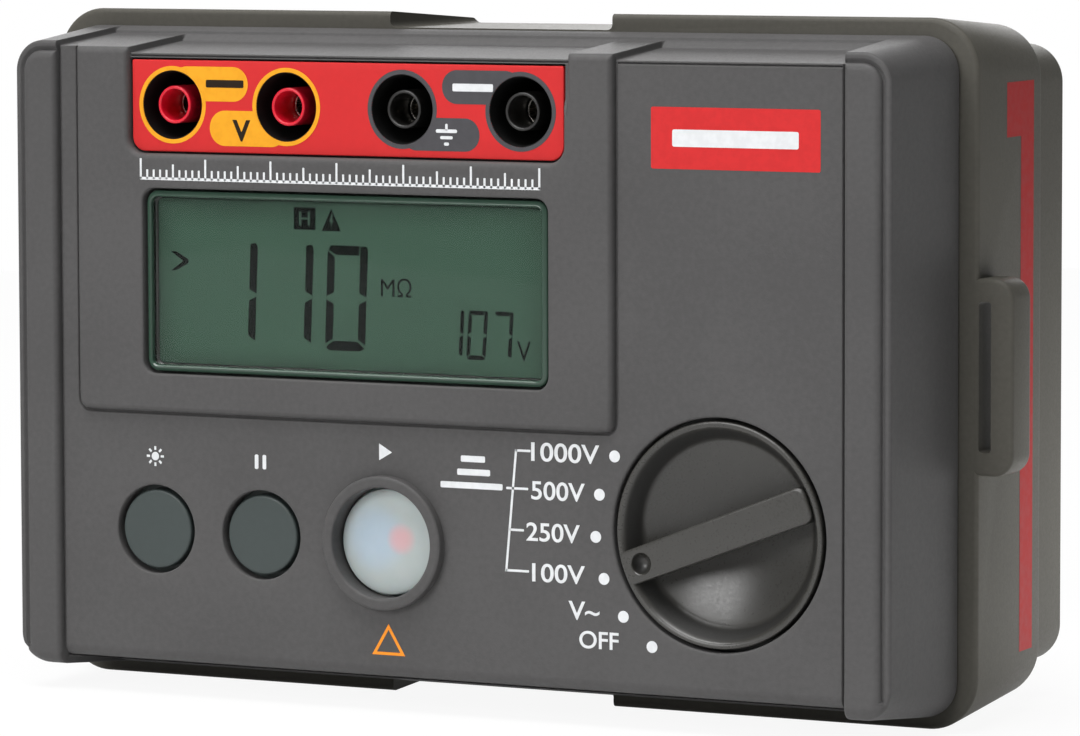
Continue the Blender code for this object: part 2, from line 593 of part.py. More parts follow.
def panel_openings():
    """The pocket for the red sheet, and the holes for display, sockets, buttons and knob."""
    pocket = centred(INPUT_X, INPUT_Z, INPUT_WIDTH + 2 * GAP, INPUT_HEIGHT + 2 * GAP, INPUT_CORNER)
    window = centred(INPUT_X, WINDOW_Z, WINDOW_WIDTH, WINDOW_HEIGHT, WINDOW_CORNER)
    view = centred(INPUT_X, WINDOW_Z, WINDOW_WIDTH - 2 * WINDOW_LEDGE, WINDOW_HEIGHT - 2 * WINDOW_LEDGE)
    ledge = WINDOW_RECESS - RAISED + WINDOW_THICK + GAP
    through = FACE_FLOOR + OVERSHOOT
    front = -RAISED - OVERSHOOT
    cutters = [plate("sheet_pocket", pocket, front, SHEET_SEAT)]
    cutters.append(plate("window_pocket", window, front, ledge))
    cutters.append(plate("window_view", view, front, through))
    for number, x in enumerate(JACKS, 1):
        cutters.append(rod(f"jack_hole_{number}", JACK_SHROUD_RADIUS + GAP, front, through, x, JACK_Z))
    hole = SMALL_CAP_RADIUS + GAP
    mouth = hole + SMALL_CHAMFER
    flare = [(0, front), (mouth, front), (mouth, 0), (hole, SMALL_CHAMFER), (hole, through), (0, through)]
    for name, x in (("light", LIGHT_X), ("hold", HOLD_X)):
        cutters.append(turning(name + "_hole", flare, x, BUTTON_Z, steps=32))
    cutters.append(rod("test_hole", bezel_neck() + GAP, front, through, TEST_X, BUTTON_Z, steps=32))
    knob_hole = KNOB_RADIUS + KNOB_GAP
    cutters.append(rod("knob_hole", knob_hole, front, through, KNOB_X, KNOB_Z, steps=40))
    return cutters


def bezel_neck():
    """Radius of the test bezel's neck, which passes through the panel."""
    return (TEST_CAP_RADIUS + GAP + TEST_BEZEL_RADIUS) / 2


def front_case():
    """The front case: panel, raised parts, openings, screw bosses and board posts."""
    case, room = face_blank()
    combine(case, [room])
    bosses, bores = [], []
    for number, (x, z) in enumerate(CASE_SCREWS, 1):
        end = RIM_DEPTH - GAP
        bosses.append(rod(f"face_boss_{number}", BOSS_RADIUS, FACE_FLOOR / 2, end, x, z, steps=16))
        hole = SCREW_RADIUS + GAP
        start = end - SCREW_GRIP - GAP
        bores.append(rod(f"face_bore_{number}", hole, start, end + OVERSHOOT, x, z, steps=16))
    for number, (x, z) in enumerate(MAIN_SCREWS, 1):
        end = MAIN_BOARD_DEPTH - GAP
        bosses.append(rod(f"post_{number}", POST_RADIUS, FACE_FLOOR / 2, end, x, z, steps=16))
        hole = SMALL_SCREW_RADIUS + GAP
        start = MAIN_BOARD_DEPTH + BOARD_THICK - SMALL_SCREW_LENGTH
        bores.append(rod(f"post_bore_{number}", hole, start, end + OVERSHOOT, x, z, steps=12))
    combine(case, bosses, "UNION")
    combine(case, level_cutters() + panel_openings())
    # The exact solver can leave open slivers where these bores meet the bosses' ends.
    combine(case, bores, solver="MANIFOLD")
    return smooth(case)


def back_body():
    """The smaller back body, which starts inside the main body."""
    size = BACK_WIDTH / 2, BACK_HEIGHT / 2, BACK_CORNER, CENTRE_Z
    return drafted("back_body", [(depth, *size) for depth in (RIM_DEPTH + SHELL_WALL, BACK_DEPTH)])


def bay_outline(margin):
    """The battery bay's outline, grown by a margin."""
    return centred(0, CENTRE_Z, BAY_WIDTH + 2 * margin, BAY_HEIGHT + 2 * margin)


def cover_outline(clearance=0.0):
    """The battery cover's outline, or its rebate's."""
    width = BAY_WIDTH + 2 * COVER_EAR - 2 * clearance
    height = BAY_HEIGHT + 2 * COVER_LEDGE - 2 * clearance
    return centred(0, CENTRE_Z, width, height, COVER_CORNER - clearance)


def shell_blank():
    """The rear shell's outside: the drafted main body and the back body."""
    sections = []
    for turn in (0, 45, 90):
        inset = SHELL_EDGE * (1 - cos(radians(turn)))
        depth = SHELL_DEPTH - SHELL_EDGE * (1 - sin(radians(turn)))
        half_width, half_height = half_sizes(depth)
        sections.append((depth, half_width - inset, half_height - inset, SHELL_CORNER, CENTRE_Z))
    rim = (RIM_DEPTH, *half_sizes(RIM_DEPTH), SHELL_CORNER, CENTRE_Z)
    shell = drafted("rear_case", [rim, *sections], SHELL_GREY)
    return combine(shell, [back_body()], "UNION")


def lip_outline():
    """Half width and half height of the locating lip, which fits inside the front case."""
    half_width, half_height = face_opening(RIM_DEPTH - LIP_LENGTH)
    return half_width - GAP, half_height - GAP


def shell_room():
    """The room inside the rear shell: within the lip at the rim, wider behind it, less at the back."""
    mouth = [size - LIP_WALL for size in lip_outline()]
    inner = BACK_WIDTH / 2 - SHELL_WALL, BACK_HEIGHT / 2 - SHELL_WALL
    corner = SHELL_CORNER - SHELL_WALL
    half_height = SHELL_HEIGHT / 2 - NOTCH_DEPTH - SHELL_WALL
    ledge, end = RIM_DEPTH + SHELL_WALL, SHELL_DEPTH - SHELL_WALL
    sections = [(RIM_DEPTH - OVERSHOOT, *mouth, corner - LIP_WALL, FACE_CENTRE_Z)]
    sections.append((ledge, *mouth, corner - LIP_WALL, FACE_CENTRE_Z))
    for depth in (ledge + LIP_WALL, end):
        sections.append((depth, half_sizes(depth)[0] - SHELL_WALL, half_height, corner, CENTRE_Z))
    for depth in (end, BACK_DEPTH - BACK_WALL):
        sections.append((depth, *inner, BACK_CORNER - SHELL_WALL / 2, CENTRE_Z))
    return drafted("shell_room", sections)


def lug(side):
    """A strap lug on one side of the rim, and the cutter for its slot."""
    rim = SHELL_WIDTH / 2
    ends = sorted((side * (rim - SHELL_WALL), side * (rim + LUG_REACH)))
    z0, z1 = CENTRE_Z - LUG_HEIGHT / 2, CENTRE_Z + LUG_HEIGHT / 2
    outline = rectangle(*ends, z0, z1, LUG_CORNER)
    name = "right" if side > 0 else "left"
    bracket = plate(f"lug_{name}", outline, RIM_DEPTH, RIM_DEPTH + LUG_DEPTH)
    inner = sorted((side * (rim + GAP / 3), side * (rim + GAP / 3 + LUG_SLOT_WIDTH)))
    slot = centred(sum(inner) / 2, CENTRE_Z, LUG_SLOT_WIDTH, LUG_SLOT_HEIGHT)
    ends = RIM_DEPTH - OVERSHOOT, RIM_DEPTH + LUG_DEPTH + OVERSHOOT
    return bracket, plate(f"lug_slot_{name}", slot, *ends)


def locating_lip():
    """The ring on the rear shell's rim that fits inside the front case."""
    corner = SHELL_CORNER - SHELL_WALL
    sizes = [2 * size for size in lip_outline()]
    outer = centred(0, FACE_CENTRE_Z, *sizes, corner)
    hole = centred(0, FACE_CENTRE_Z, *(size - 2 * LIP_WALL for size in sizes), corner - LIP_WALL)
    return plate("locating_lip", outer, RIM_DEPTH - LIP_LENGTH, RIM_DEPTH + SHELL_WALL / 2, holes=[hole])


def columns():
    """The columns that carry the case screws, and the bores in them with deep head pockets."""
    solids, bores = [], []
    for number, (x, z) in enumerate(CASE_SCREWS, 1):
        seat, hole = BACK_DEPTH - SCREW_SINK, SCREW_RADIUS + GAP
        ends = RIM_DEPTH + GAP, BACK_DEPTH - BACK_WALL / 2
        solids.append(rod(f"column_{number}", COLUMN_RADIUS, *ends, x, z, steps=16))
        pocket = SCREW_HEAD_RADIUS + GAP
        bores.append(rod(f"head_pocket_{number}", pocket, seat, BACK_DEPTH + OVERSHOOT, x, z, steps=16))
        bores.append(rod(f"column_bore_{number}", hole, RIM_DEPTH - OVERSHOOT, ends[1], x, z, steps=16))
    return solids, bores


def power_posts():
    """The posts on the battery bay's floor that carry the power board, and their bores."""
    solids, bores = [], []
    start, end = POWER_BOARD_DEPTH + BOARD_THICK + GAP, BAY_FLOOR - BAY_WALL / 2
    tip = POWER_BOARD_DEPTH + SMALL_SCREW_LENGTH
    for number, (x, z) in enumerate(POWER_SCREWS, 1):
        solids.append(rod(f"power_post_{number}", POST_RADIUS, start, end, x, z, steps=16))
        hole = SMALL_SCREW_RADIUS + GAP
        bores.append(rod(f"power_bore_{number}", hole, start - OVERSHOOT, tip, x, z, steps=12))
    return solids, bores


def cover_bosses():
    """The bosses beside the battery bay that take the cover's screws, and their bores."""
    solids, bores = [], []
    start = BACK_DEPTH - COVER_HEAD - COVER_SCREW_LENGTH - GAP
    for number, side in enumerate((-1, 1), 1):
        x = side * COVER_SCREW_X
        ends = start - BAY_WALL, BACK_DEPTH - BACK_WALL / 2
        solids.append(rod(f"cover_boss_{number}", BOSS_RADIUS, *ends, x, CENTRE_Z, steps=16))
        ends = start, BACK_DEPTH + OVERSHOOT
        bores.append(rod(f"cover_bore_{number}", SCREW_RADIUS + GAP, *ends, x, CENTRE_Z, steps=16))
    return solids, bores


def notches():
    """Cutters for the gaps in the rim, top and bottom."""
    cutters = []
    for name, side in (("bottom", -1), ("top", 1)):
        floor, clear = SHELL_HEIGHT / 2 - NOTCH_DEPTH, SHELL_HEIGHT / 2 + OVERSHOOT
        edges = sorted((CENTRE_Z + side * floor, CENTRE_Z + side * clear))
        ends = RIM_DEPTH - OVERSHOOT, SHELL_DEPTH + OVERSHOOT
        cutters.append(block(f"notch_{name}", -NOTCH_WIDTH / 2, NOTCH_WIDTH / 2, *edges, *ends))
    return cutters


def rear_case():
    """The rear shell: rim with notches and strap lugs, battery bay, screw columns and posts."""
    case = shell_blank()
    lugs, slots = zip(*(lug(side) for side in (-1, 1)))
    combine(case, lugs, "UNION")
    combine(case, [shell_room()])
    bay = plate("bay_box", bay_outline(BAY_WALL), BAY_FLOOR - BAY_WALL, BACK_DEPTH - BACK_WALL / 2)
    added, bores = [locating_lip(), bay], [*slots]
    for solids, holes in (columns(), power_posts(), cover_bosses()):
        added += solids
        bores += holes
    combine(case, added, "UNION")
    bay_room = plate("bay_room", bay_outline(0), BAY_FLOOR, BACK_DEPTH + OVERSHOOT)
    rebate = plate("cover_rebate", cover_outline(), BACK_DEPTH - COVER_THICK - GAP, BACK_DEPTH + OVERSHOOT)
    combine(case, [bay_room, rebate, *notches()])
    # The exact solver leaves open slivers where these bores meet the columns' ends.
    combine(case, bores, solver="MANIFOLD")
    return smooth(case)


def screw(name, x, z, seat, length, head, head_radius, radius, rearward=True):
    """A pan-head screw whose head rests at the depth seat; its point faces the panel or the back."""
    way = -1 if rearward else 1
    top = seat - way * head
    tip = seat + way * length
    shaft = [(head_radius * 0.6, top), (head_radius, top + way * head * 0.4), (head_radius, seat)]
    shaft += [(radius, seat), (radius, tip - way * radius), (radius * 0.4, tip)]
    profile = [(0, top), *shaft, (0, tip)]
    if rearward:
        profile.reverse()
    return smooth(turning(name, profile, x, z, STEEL, steps=10))


def case_screws():
    """Four long screws that draw the rear shell to the front case, sunk deep in its columns."""
    seat = BACK_DEPTH - SCREW_SINK + GAP / 3
    length = seat - (RIM_DEPTH - GAP - SCREW_GRIP)
    for number, (x, z) in enumerate(CASE_SCREWS, 1):
        screw(f"case_screw_{number}", x, z, seat, length, SCREW_HEAD, SCREW_HEAD_RADIUS, SCREW_RADIUS)


def battery_cover():
    """The flat cover over the cells, and the two screws that hold it."""
    front = BACK_DEPTH - COVER_THICK
    seat = BACK_DEPTH - COVER_HEAD
    cover = plate("battery_cover", cover_outline(GAP), front, BACK_DEPTH, SHELL_GREY)
    cuts = []
    for number, side in enumerate((-1, 1), 1):
        x = side * COVER_SCREW_X
        end = BACK_DEPTH + OVERSHOOT
        cuts.append(rod(f"seat_{number}", SCREW_HEAD_RADIUS + GAP, seat, end, x, CENTRE_Z, steps=16))
        start = front - OVERSHOOT
        cuts.append(rod(f"cover_hole_{number}", SCREW_RADIUS + GAP, start, end, x, CENTRE_Z, steps=16))
        sizes = COVER_SCREW_LENGTH, COVER_HEAD - GAP / 3, SCREW_HEAD_RADIUS, SCREW_RADIUS
        screw(f"cover_screw_{number}", x, CENTRE_Z, seat + GAP / 3, *sizes)
    return combine(cover, cuts)


def input_panel():
    """The red sheet round the sockets."""
    outline = centred(INPUT_X, INPUT_Z, INPUT_WIDTH, INPUT_HEIGHT, INPUT_CORNER)
    holes = [circle(x, JACK_Z, JACK_WELL_RADIUS, 28) for x in JACKS]
    return plate("input_panel", outline, 0, INPUT_SHEET, INPUT_RED, holes)


def socket_block():
    """One insulating moulding: a deep round well for each socket on a common flange."""
    start, end = SHEET_SEAT, JACK_END
    base = FACE_FLOOR + GAP
    width = JACKS[-1] - JACKS[0] + 2 * (JACK_SHROUD_RADIUS + JACK_FLANGE_EXTRA)
    height = 2 * (JACK_SHROUD_RADIUS + JACK_FLANGE_EXTRA / 3)
    outline = centred(INPUT_X, JACK_Z, width, height, height / 2 - GAP)
    middle = (JACK_WELL_RADIUS + JACK_SHROUD_RADIUS) / 2
    holes = [circle(x, JACK_Z, middle, 20) for x in JACKS]
    flange = plate("socket_block", outline, base, base + JACK_FLANGE, SOCKET_BLACK, holes)
    tail_hole = JACK_TAIL_RADIUS + GAP
    cup = [(JACK_SHROUD_RADIUS, start), (JACK_SHROUD_RADIUS, end), (tail_hole, end)]
    cup += [(tail_hole, JACK_BOTTOM), (JACK_WELL_RADIUS, JACK_BOTTOM), (JACK_WELL_RADIUS, start)]
    cups = [turning(f"cup_{n}", cup, x, JACK_Z, steps=20, closed=True) for n, x in enumerate(JACKS, 1)]
    return smooth(combine(flange, cups, "UNION"))


def socket(number, x, colour):
    """The coloured sleeve that stands in a well, and the contact inside it."""
    outer = JACK_BORE_RADIUS + JACK_CONTACT_WALL
    lip, end = JACK_RECESS + JACK_LIP, JACK_BOTTOM - GAP
    bore = outer + GAP / 2
    sleeve = [(JACK_MOUTH_RADIUS + GAP / 3, JACK_RECESS), (JACK_SLEEVE_RADIUS, JACK_RECESS + GAP / 3)]
    sleeve += [(JACK_SLEEVE_RADIUS, end), (bore, end), (bore, lip)]
    sleeve += [(JACK_MOUTH_RADIUS, lip), (JACK_MOUTH_RADIUS, JACK_RECESS + GAP / 3)]
    smooth(turning(f"socket_sleeve_{number}", sleeve, x, JACK_Z, colour, steps=16, closed=True))
    tail, floor = POWER_BOARD_DEPTH + BOARD_THICK + 2 * GAP, end - JACK_CONTACT_FLOOR
    contact = [(0, floor), (JACK_BORE_RADIUS, floor), (JACK_BORE_RADIUS, lip + GAP)]
    contact += [(outer, lip + GAP), (outer, end), (JACK_TAIL_RADIUS, end)]
    contact += [(JACK_TAIL_RADIUS, tail), (0, tail)]
    smooth(turning(f"socket_contact_{number}", contact, x, JACK_Z, BRASS, steps=12))


def sockets():
    """The sockets from left to right: red for the line side, black for the earth side."""
    socket_block()
    for number, x in enumerate(JACKS, 1):
        socket(number, x, SOCKET_RED if number <= JACK_COUNT / 2 else SOCKET_BLACK)


def display():
    """The clear window, and the glass, back light and frame behind it."""
    size = WINDOW_WIDTH - 2 * GAP, WINDOW_HEIGHT - 2 * GAP
    front = WINDOW_RECESS - RAISED
    outline = centred(INPUT_X, WINDOW_Z, *size, WINDOW_CORNER - GAP)
    plate("display_window", outline, front, front + WINDOW_THICK, WINDOW_CLEAR)
    glass = FACE_FLOOR + GAP
    light = glass + GLASS_THICK + GAP
    outline = centred(INPUT_X, WINDOW_Z, GLASS_WIDTH, GLASS_HEIGHT)
    plate("display_glass", outline, glass, glass + GLASS_THICK, GLASS_GREEN)
    plate("display_backlight", outline, light, light + LIGHT_THICK, LIGHT_WHITE)
    display_frame(glass, light + LIGHT_THICK + GAP)


def display_frame(start, shelf):
    """The frame round the glass and the back light, with a shelf behind them, down to the board."""
    sides = GLASS_WIDTH + 2 * GAP, GLASS_HEIGHT + 2 * GAP
    outline, edge, core = (
        centred(INPUT_X, WINDOW_Z, *(side + extra * BEZEL_WALL for side in sides), radius)
        for extra, radius in ((2, BEZEL_WALL / 2), (1, 0), (-4, 0))
    )
    hole = centred(INPUT_X, WINDOW_Z, *sides)
    frame = plate("display_frame", outline, start, MAIN_BOARD_DEPTH - GAP, PART_BLACK, [hole])
    ledge = plate("frame_shelf", edge, shelf, shelf + BEZEL_WALL / 2, holes=[core])
    return combine(frame, [ledge], "UNION")


def small_button(name, x):
    """A flat cap that runs in the panel, with a flange behind it and a stem on its switch."""
    radius = SMALL_CAP_RADIUS
    flange = radius + BUTTON_FLANGE_EXTRA
    seat = FACE_FLOOR + GAP
    stem_end = MAIN_BOARD_DEPTH - SWITCH_BODY - SMALL_TRAVEL - GAP
    profile = [(0, SMALL_RECESS), (radius - SMALL_EDGE, SMALL_RECESS), (radius, SMALL_RECESS + SMALL_EDGE)]
    profile += [(radius, seat), (flange, seat), (flange, seat + BUTTON_FLANGE)]
    profile += [(STEM_RADIUS, seat + BUTTON_FLANGE), (STEM_RADIUS, stem_end), (0, stem_end)]
    return smooth(turning(name, profile, x, BUTTON_Z, CAP_SLATE, steps=28))


def test_button():
    """The round bezel on the panel and the domed cap that runs inside it."""
    neck, bore = bezel_neck(), TEST_CAP_RADIUS + GAP
    outer, height = TEST_BEZEL_RADIUS, TEST_BEZEL_HEIGHT
    lip, edge = FACE_FLOOR - GAP, (outer - bore - TEST_BEZEL_WIDTH) / 2
    bezel = [(bore + edge, -height), (outer - edge, -height), (outer, edge - height)]
    bezel += [(outer, -GAP), (neck, -GAP), (neck, lip), (bore, lip), (bore, edge - height)]
    smooth(turning("test_bezel", bezel, TEST_X, BUTTON_Z, CASE_GREY, steps=36, closed=True), 50)
    radius = TEST_CAP_RADIUS
    dome = [(radius * sin(radians(a)), TEST_RECESS - TEST_DOME * cos(radians(a))) for a in (0, 30, 60)]
    seat = FACE_FLOOR + GAP
    flange = bore + BUTTON_FLANGE_EXTRA
    stem_end = MAIN_BOARD_DEPTH - SWITCH_BODY - TEST_TRAVEL - GAP
    profile = [*dome, (radius, TEST_RECESS), (radius, seat), (flange, seat), (flange, seat + BUTTON_FLANGE)]
    profile += [(STEM_RADIUS, seat + BUTTON_FLANGE), (STEM_RADIUS, stem_end), (0, stem_end)]
    return smooth(turning("test_button", profile, TEST_X, BUTTON_Z, CAP_MILK, steps=36), 50)


def key_switches():
    """A switch behind each button, and the lamp that lights the test button, on the main board."""
    seat = MAIN_BOARD_DEPTH - GAP
    for name, x in (("light", LIGHT_X), ("hold", HOLD_X), ("test", TEST_X)):
        outline = centred(x, BUTTON_Z, SWITCH_SIDE, SWITCH_SIDE)
        plate(f"{name}_switch", outline, MAIN_BOARD_DEPTH - SWITCH_BODY, seat, PART_BLACK)
    radius, top = LAMP_RADIUS, seat - LAMP_HEIGHT
    dome = [(radius * sin(radians(a)), top + radius - radius * cos(radians(a))) for a in (0, 30, 60, 90)]
    lamp = [*dome, (radius, seat), (0, seat)]
    smooth(turning("test_lamp", lamp, TEST_X + LAMP_SHIFT, BUTTON_Z, LAMP_CLEAR, steps=12))


def pointer_bar():
    """The bar across the knob, in the knob's own plane, from its tip to its rounded tail."""
    tip = KNOB_RADIUS - GAP / 3
    tail = -(KNOB_RADIUS - KNOB_RIM - GAP / 3)
    half, corner = POINTER_TAIL_HALF, POINTER_TAIL_CORNER
    shape = [(tail + corner, half), (tip, POINTER_TIP_HALF), (tip, -POINTER_TIP_HALF), (tail + corner, -half)]
    for step in range(1, 9):
        side = -1 if step < 5 else 1
        angle = radians(270 - 90 * (step - 0.5 * (side + 1)) / 4)
        centre = (tail + corner, side * (half - corner))
        shape.append((centre[0] + corner * cos(angle), centre[1] + corner * sin(angle)))
    along, across = cos(radians(POINTER_ANGLE)), sin(radians(POINTER_ANGLE))
    return [(KNOB_X + u * along - v * across, KNOB_Z + u * across + v * along) for u, v in shape]


def knob():
    """The range knob: a rim flush with the panel, a dish, a pointer bar and a hub behind."""
    rim, radius = KNOB_RADIUS - KNOB_RIM, KNOB_RADIUS
    bowl = rim - KNOB_DISH * 0.6
    dish = [(0, KNOB_DISH * 0.82), (bowl * 0.6, KNOB_DISH * 0.9), (bowl, KNOB_DISH)]
    for turn in (30, 60, 90):
        reach = sin(radians(turn))
        dish.append((bowl + (rim - bowl) * reach, KNOB_DISH * cos(radians(turn)) * (1 - 0.15 * reach)))
    back, seat = KNOB_BACK, FACE_FLOOR + GAP
    flange = radius + KNOB_GAP + KNOB_FLANGE_EXTRA
    outside = [(radius, 0), (radius, seat), (flange, seat), (flange, seat + KNOB_FLANGE)]
    outside += [(radius, seat + KNOB_FLANGE), (radius - 2 * KNOB_RIM, back), (KNOB_HUB_RADIUS, back)]
    outside += [(KNOB_HUB_RADIUS, HUB_END), (0, HUB_END)]
    body = turning("selector_knob", dish + outside, KNOB_X, KNOB_Z, KNOB_GREY, steps=40)
    root = (KNOB_DISH + KNOB_BACK) / 2
    bar = plate("pointer_bar", pointer_bar(), 0, root, about=(KNOB_X, KNOB_Z))
    turn = radians(POINTER_ANGLE)
    x, z = KNOB_X + DIMPLE_REACH * cos(turn), KNOB_Z + DIMPLE_REACH * sin(turn)
    ball = [(DIMPLE_RADIUS * sin(radians(a)), -DIMPLE_RADIUS * cos(radians(a))) for a in range(0, 181, 30)]
    combine(body, [bar], "UNION")
    combine(body, [turning("dimple", ball, x, z, steps=16)])
    return smooth(body)


def rotor():
    """The disc that carries the wiping contacts, its axle through the main board and the clip on it."""
    start = MAIN_BOARD_DEPTH - 2 * GAP - ROTOR_THICK
    end = start + ROTOR_THICK
    groove = MAIN_BOARD_DEPTH + BOARD_THICK
    clip = groove + GAP
    head = clip + CLIP_THICK + GAP
    neck = CLIP_INNER - GAP
    profile = [(0, start), (ROTOR_RADIUS, start), (ROTOR_RADIUS, end), (AXLE_RADIUS, end)]
    profile += [(AXLE_RADIUS, groove), (neck, groove), (neck, head), (AXLE_RADIUS, head)]
    profile += [(AXLE_RADIUS, head + AXLE_END), (0, head + AXLE_END)]
    smooth(turning("switch_rotor", profile, KNOB_X, KNOB_Z, PART_BLACK, steps=28))
    ring = pipe("rotor_clip", CLIP_RADIUS, CLIP_INNER, clip, clip + CLIP_THICK, KNOB_X, KNOB_Z, STEEL, 16)
    low = KNOB_Z - CLIP_RADIUS - OVERSHOOT
    reach = KNOB_X - CLIP_INNER, KNOB_X + CLIP_INNER
    combine(ring, [block("clip_mouth", *reach, low, KNOB_Z, clip - OVERSHOOT, head + OVERSHOOT)])


def boards():
    """The main board behind the panel and the power board behind the sockets, with their screws."""
    sizes = SMALL_SCREW_LENGTH - GAP, SMALL_HEAD, SMALL_HEAD_RADIUS, SMALL_SCREW_RADIUS
    half = MAIN_BOARD_WIDTH / 2
    hole = SMALL_SCREW_RADIUS + GAP
    outline = rectangle(-half, half, MAIN_BOARD_BOTTOM, MAIN_BOARD_TOP)
    holes = [circle(x, z, hole, 12) for x, z in MAIN_SCREWS]
    holes.append(circle(KNOB_X, KNOB_Z, AXLE_RADIUS + GAP, 20))
    back = MAIN_BOARD_DEPTH + BOARD_THICK
    plate("main_board", outline, MAIN_BOARD_DEPTH, back, BOARD_GREEN, holes)
    for number, (x, z) in enumerate(MAIN_SCREWS, 1):
        screw(f"board_screw_{number}", x, z, back + GAP / 3, *sizes)
    half = POWER_BOARD_WIDTH / 2
    outline = rectangle(-half, half, POWER_BOARD_BOTTOM, POWER_BOARD_TOP)
    holes = [circle(x, z, hole, 12) for x, z in POWER_SCREWS]
    holes += [circle(x, JACK_Z, JACK_TAIL_RADIUS + GAP, 12) for x in JACKS]
    back = POWER_BOARD_DEPTH + BOARD_THICK
    plate("power_board", outline, POWER_BOARD_DEPTH, back, BOARD_GREEN, holes)
    for number, (x, z) in enumerate(POWER_SCREWS, 1):
        screw(f"power_screw_{number}", x, z, POWER_BOARD_DEPTH - GAP / 3, *sizes, rearward=False)


def components():
    """The larger components: those of the high-voltage side stand behind the power board."""
    front = MAIN_BOARD_DEPTH + BOARD_THICK + GAP
    header = centred(0, POWER_BOARD_BOTTOM + HEADER_RISE, HEADER_WIDTH, HEADER_HEIGHT)
    plate("board_header", header, front, POWER_BOARD_DEPTH - GAP, PART_BLACK)
    plate("main_chip", centred(CHIP_X, CHIP_Z, CHIP_SIDE, CHIP_SIDE), front, front + CHIP_THICK, PART_BLACK)
    base = POWER_BOARD_DEPTH + BOARD_THICK + GAP
    core = centred(COIL_X, COIL_Z, COIL_WIDTH, COIL_HEIGHT)
    size = COIL_WIDTH - 2 * COIL_FRAME, COIL_HEIGHT + 2 * COIL_WINDING
    winding = centred(COIL_X, COIL_Z, *size, COIL_WINDING)
    coil = plate("hv_transformer", core, base, base + COIL_DEPTH, PART_BLACK)
    ends = base + COIL_WINDING, base + COIL_DEPTH - COIL_WINDING
    combine(coil, [plate("winding", winding, *ends)], "UNION")
    relay = centred(RELAY_X, RELAY_Z, RELAY_WIDTH, RELAY_HEIGHT)
    plate("range_relay", relay, base, base + RELAY_DEPTH, PART_BLUE)
    top = base + CAPACITOR_HEIGHT
    rod("hv_capacitor", CAPACITOR_RADIUS, base, top, CAPACITOR_X, RELAY_Z, PART_BLUE, steps=16)
    rod("buzzer", BUZZER_RADIUS, base, base + BUZZER_HEIGHT, BUZZER_X, BUZZER_Z, PART_BLACK, steps=16)
    fuse_and_holder(base)


def fuse_and_holder(base):
    """The fuse, and the open tray with a saddle at each end that grips it."""
    axis = base + FUSE_FLOOR + GAP + FUSE_RADIUS
    half_length, half_height = FUSE_LENGTH / 2 + GAP + FUSE_WALL, FUSE_RADIUS + GAP + FUSE_WALL
    ends, sides = (FUSE_X - half_length, FUSE_X + half_length), (FUSE_Z - half_height, FUSE_Z + half_height)
    top = axis + FUSE_RADIUS
    holder = block("fuse_holder", *ends, *sides, base, top, PART_BLACK)
    free, reach = FUSE_LENGTH / 2 - FUSE_GRIP, half_height + OVERSHOOT
    middle = FUSE_X - free, FUSE_X + free, FUSE_Z - reach, FUSE_Z + reach
    gap = block("holder_gap", *middle, base + FUSE_FLOOR, top + OVERSHOOT)
    room = FUSE_LENGTH / 2 + GAP
    groove = cylinder_along_x("fuse_groove", FUSE_RADIUS + GAP, 2 * room, FUSE_X, axis, FUSE_Z)
    mouth = FUSE_X - room, FUSE_X + room, FUSE_Z - FUSE_RADIUS, FUSE_Z + FUSE_RADIUS
    combine(holder, [gap, groove, block("fuse_mouth", *mouth, axis, top + OVERSHOOT)])
    smooth(cylinder_along_x("fuse", FUSE_RADIUS, FUSE_LENGTH, FUSE_X, axis, FUSE_Z, NICKEL, steps=16))


def cylinder_along_x(name, radius, length, x, depth, z, look=None, steps=20):
    """A cylinder that lies along X."""
    solid = bmesh.new()
    bmesh.ops.create_cone(solid, cap_ends=True, segments=steps, radius1=radius, radius2=radius, depth=length)
    mesh = bpy.data.meshes.new(name)
    solid.to_mesh(mesh)
    solid.free()
    cylinder = place(name, mesh, look, (x, PANEL_Y + depth, z))
    cylinder.rotation_euler = (0, pi / 2, 0)
    return cylinder


def cell(name, x, depth, z, way):
    """A cell that lies along X, with its positive end to the right where way is 1."""
    half, step = (CELL_LENGTH + CELL_NUB) / 2, (CELL_LENGTH - CELL_NUB) / 2
    profile = [(0, half), (CELL_NUB_RADIUS, half), (CELL_NUB_RADIUS, step), (CELL_RADIUS, step)]
    profile += [(CELL_RADIUS, -half), (0, -half)]
    mesh = bpy.data.meshes.new(name)
    edges = [(i, i + 1) for i in range(len(profile) - 1)]
    mesh.from_pydata([(radius, 0, height) for radius, height in profile], edges, [])
    solid = place(name, mesh, CELL_SLEEVE, (x, PANEL_Y + depth, z))
    solid.rotation_euler = (0, way * pi / 2, 0)
    turned(solid, 14)
    return smooth(solid)


def row_heights():
    """The height of each row of cells."""
    return [CENTRE_Z + (row - (CELL_ROWS - 1) / 2) * CELL_PITCH for row in range(CELL_ROWS)]


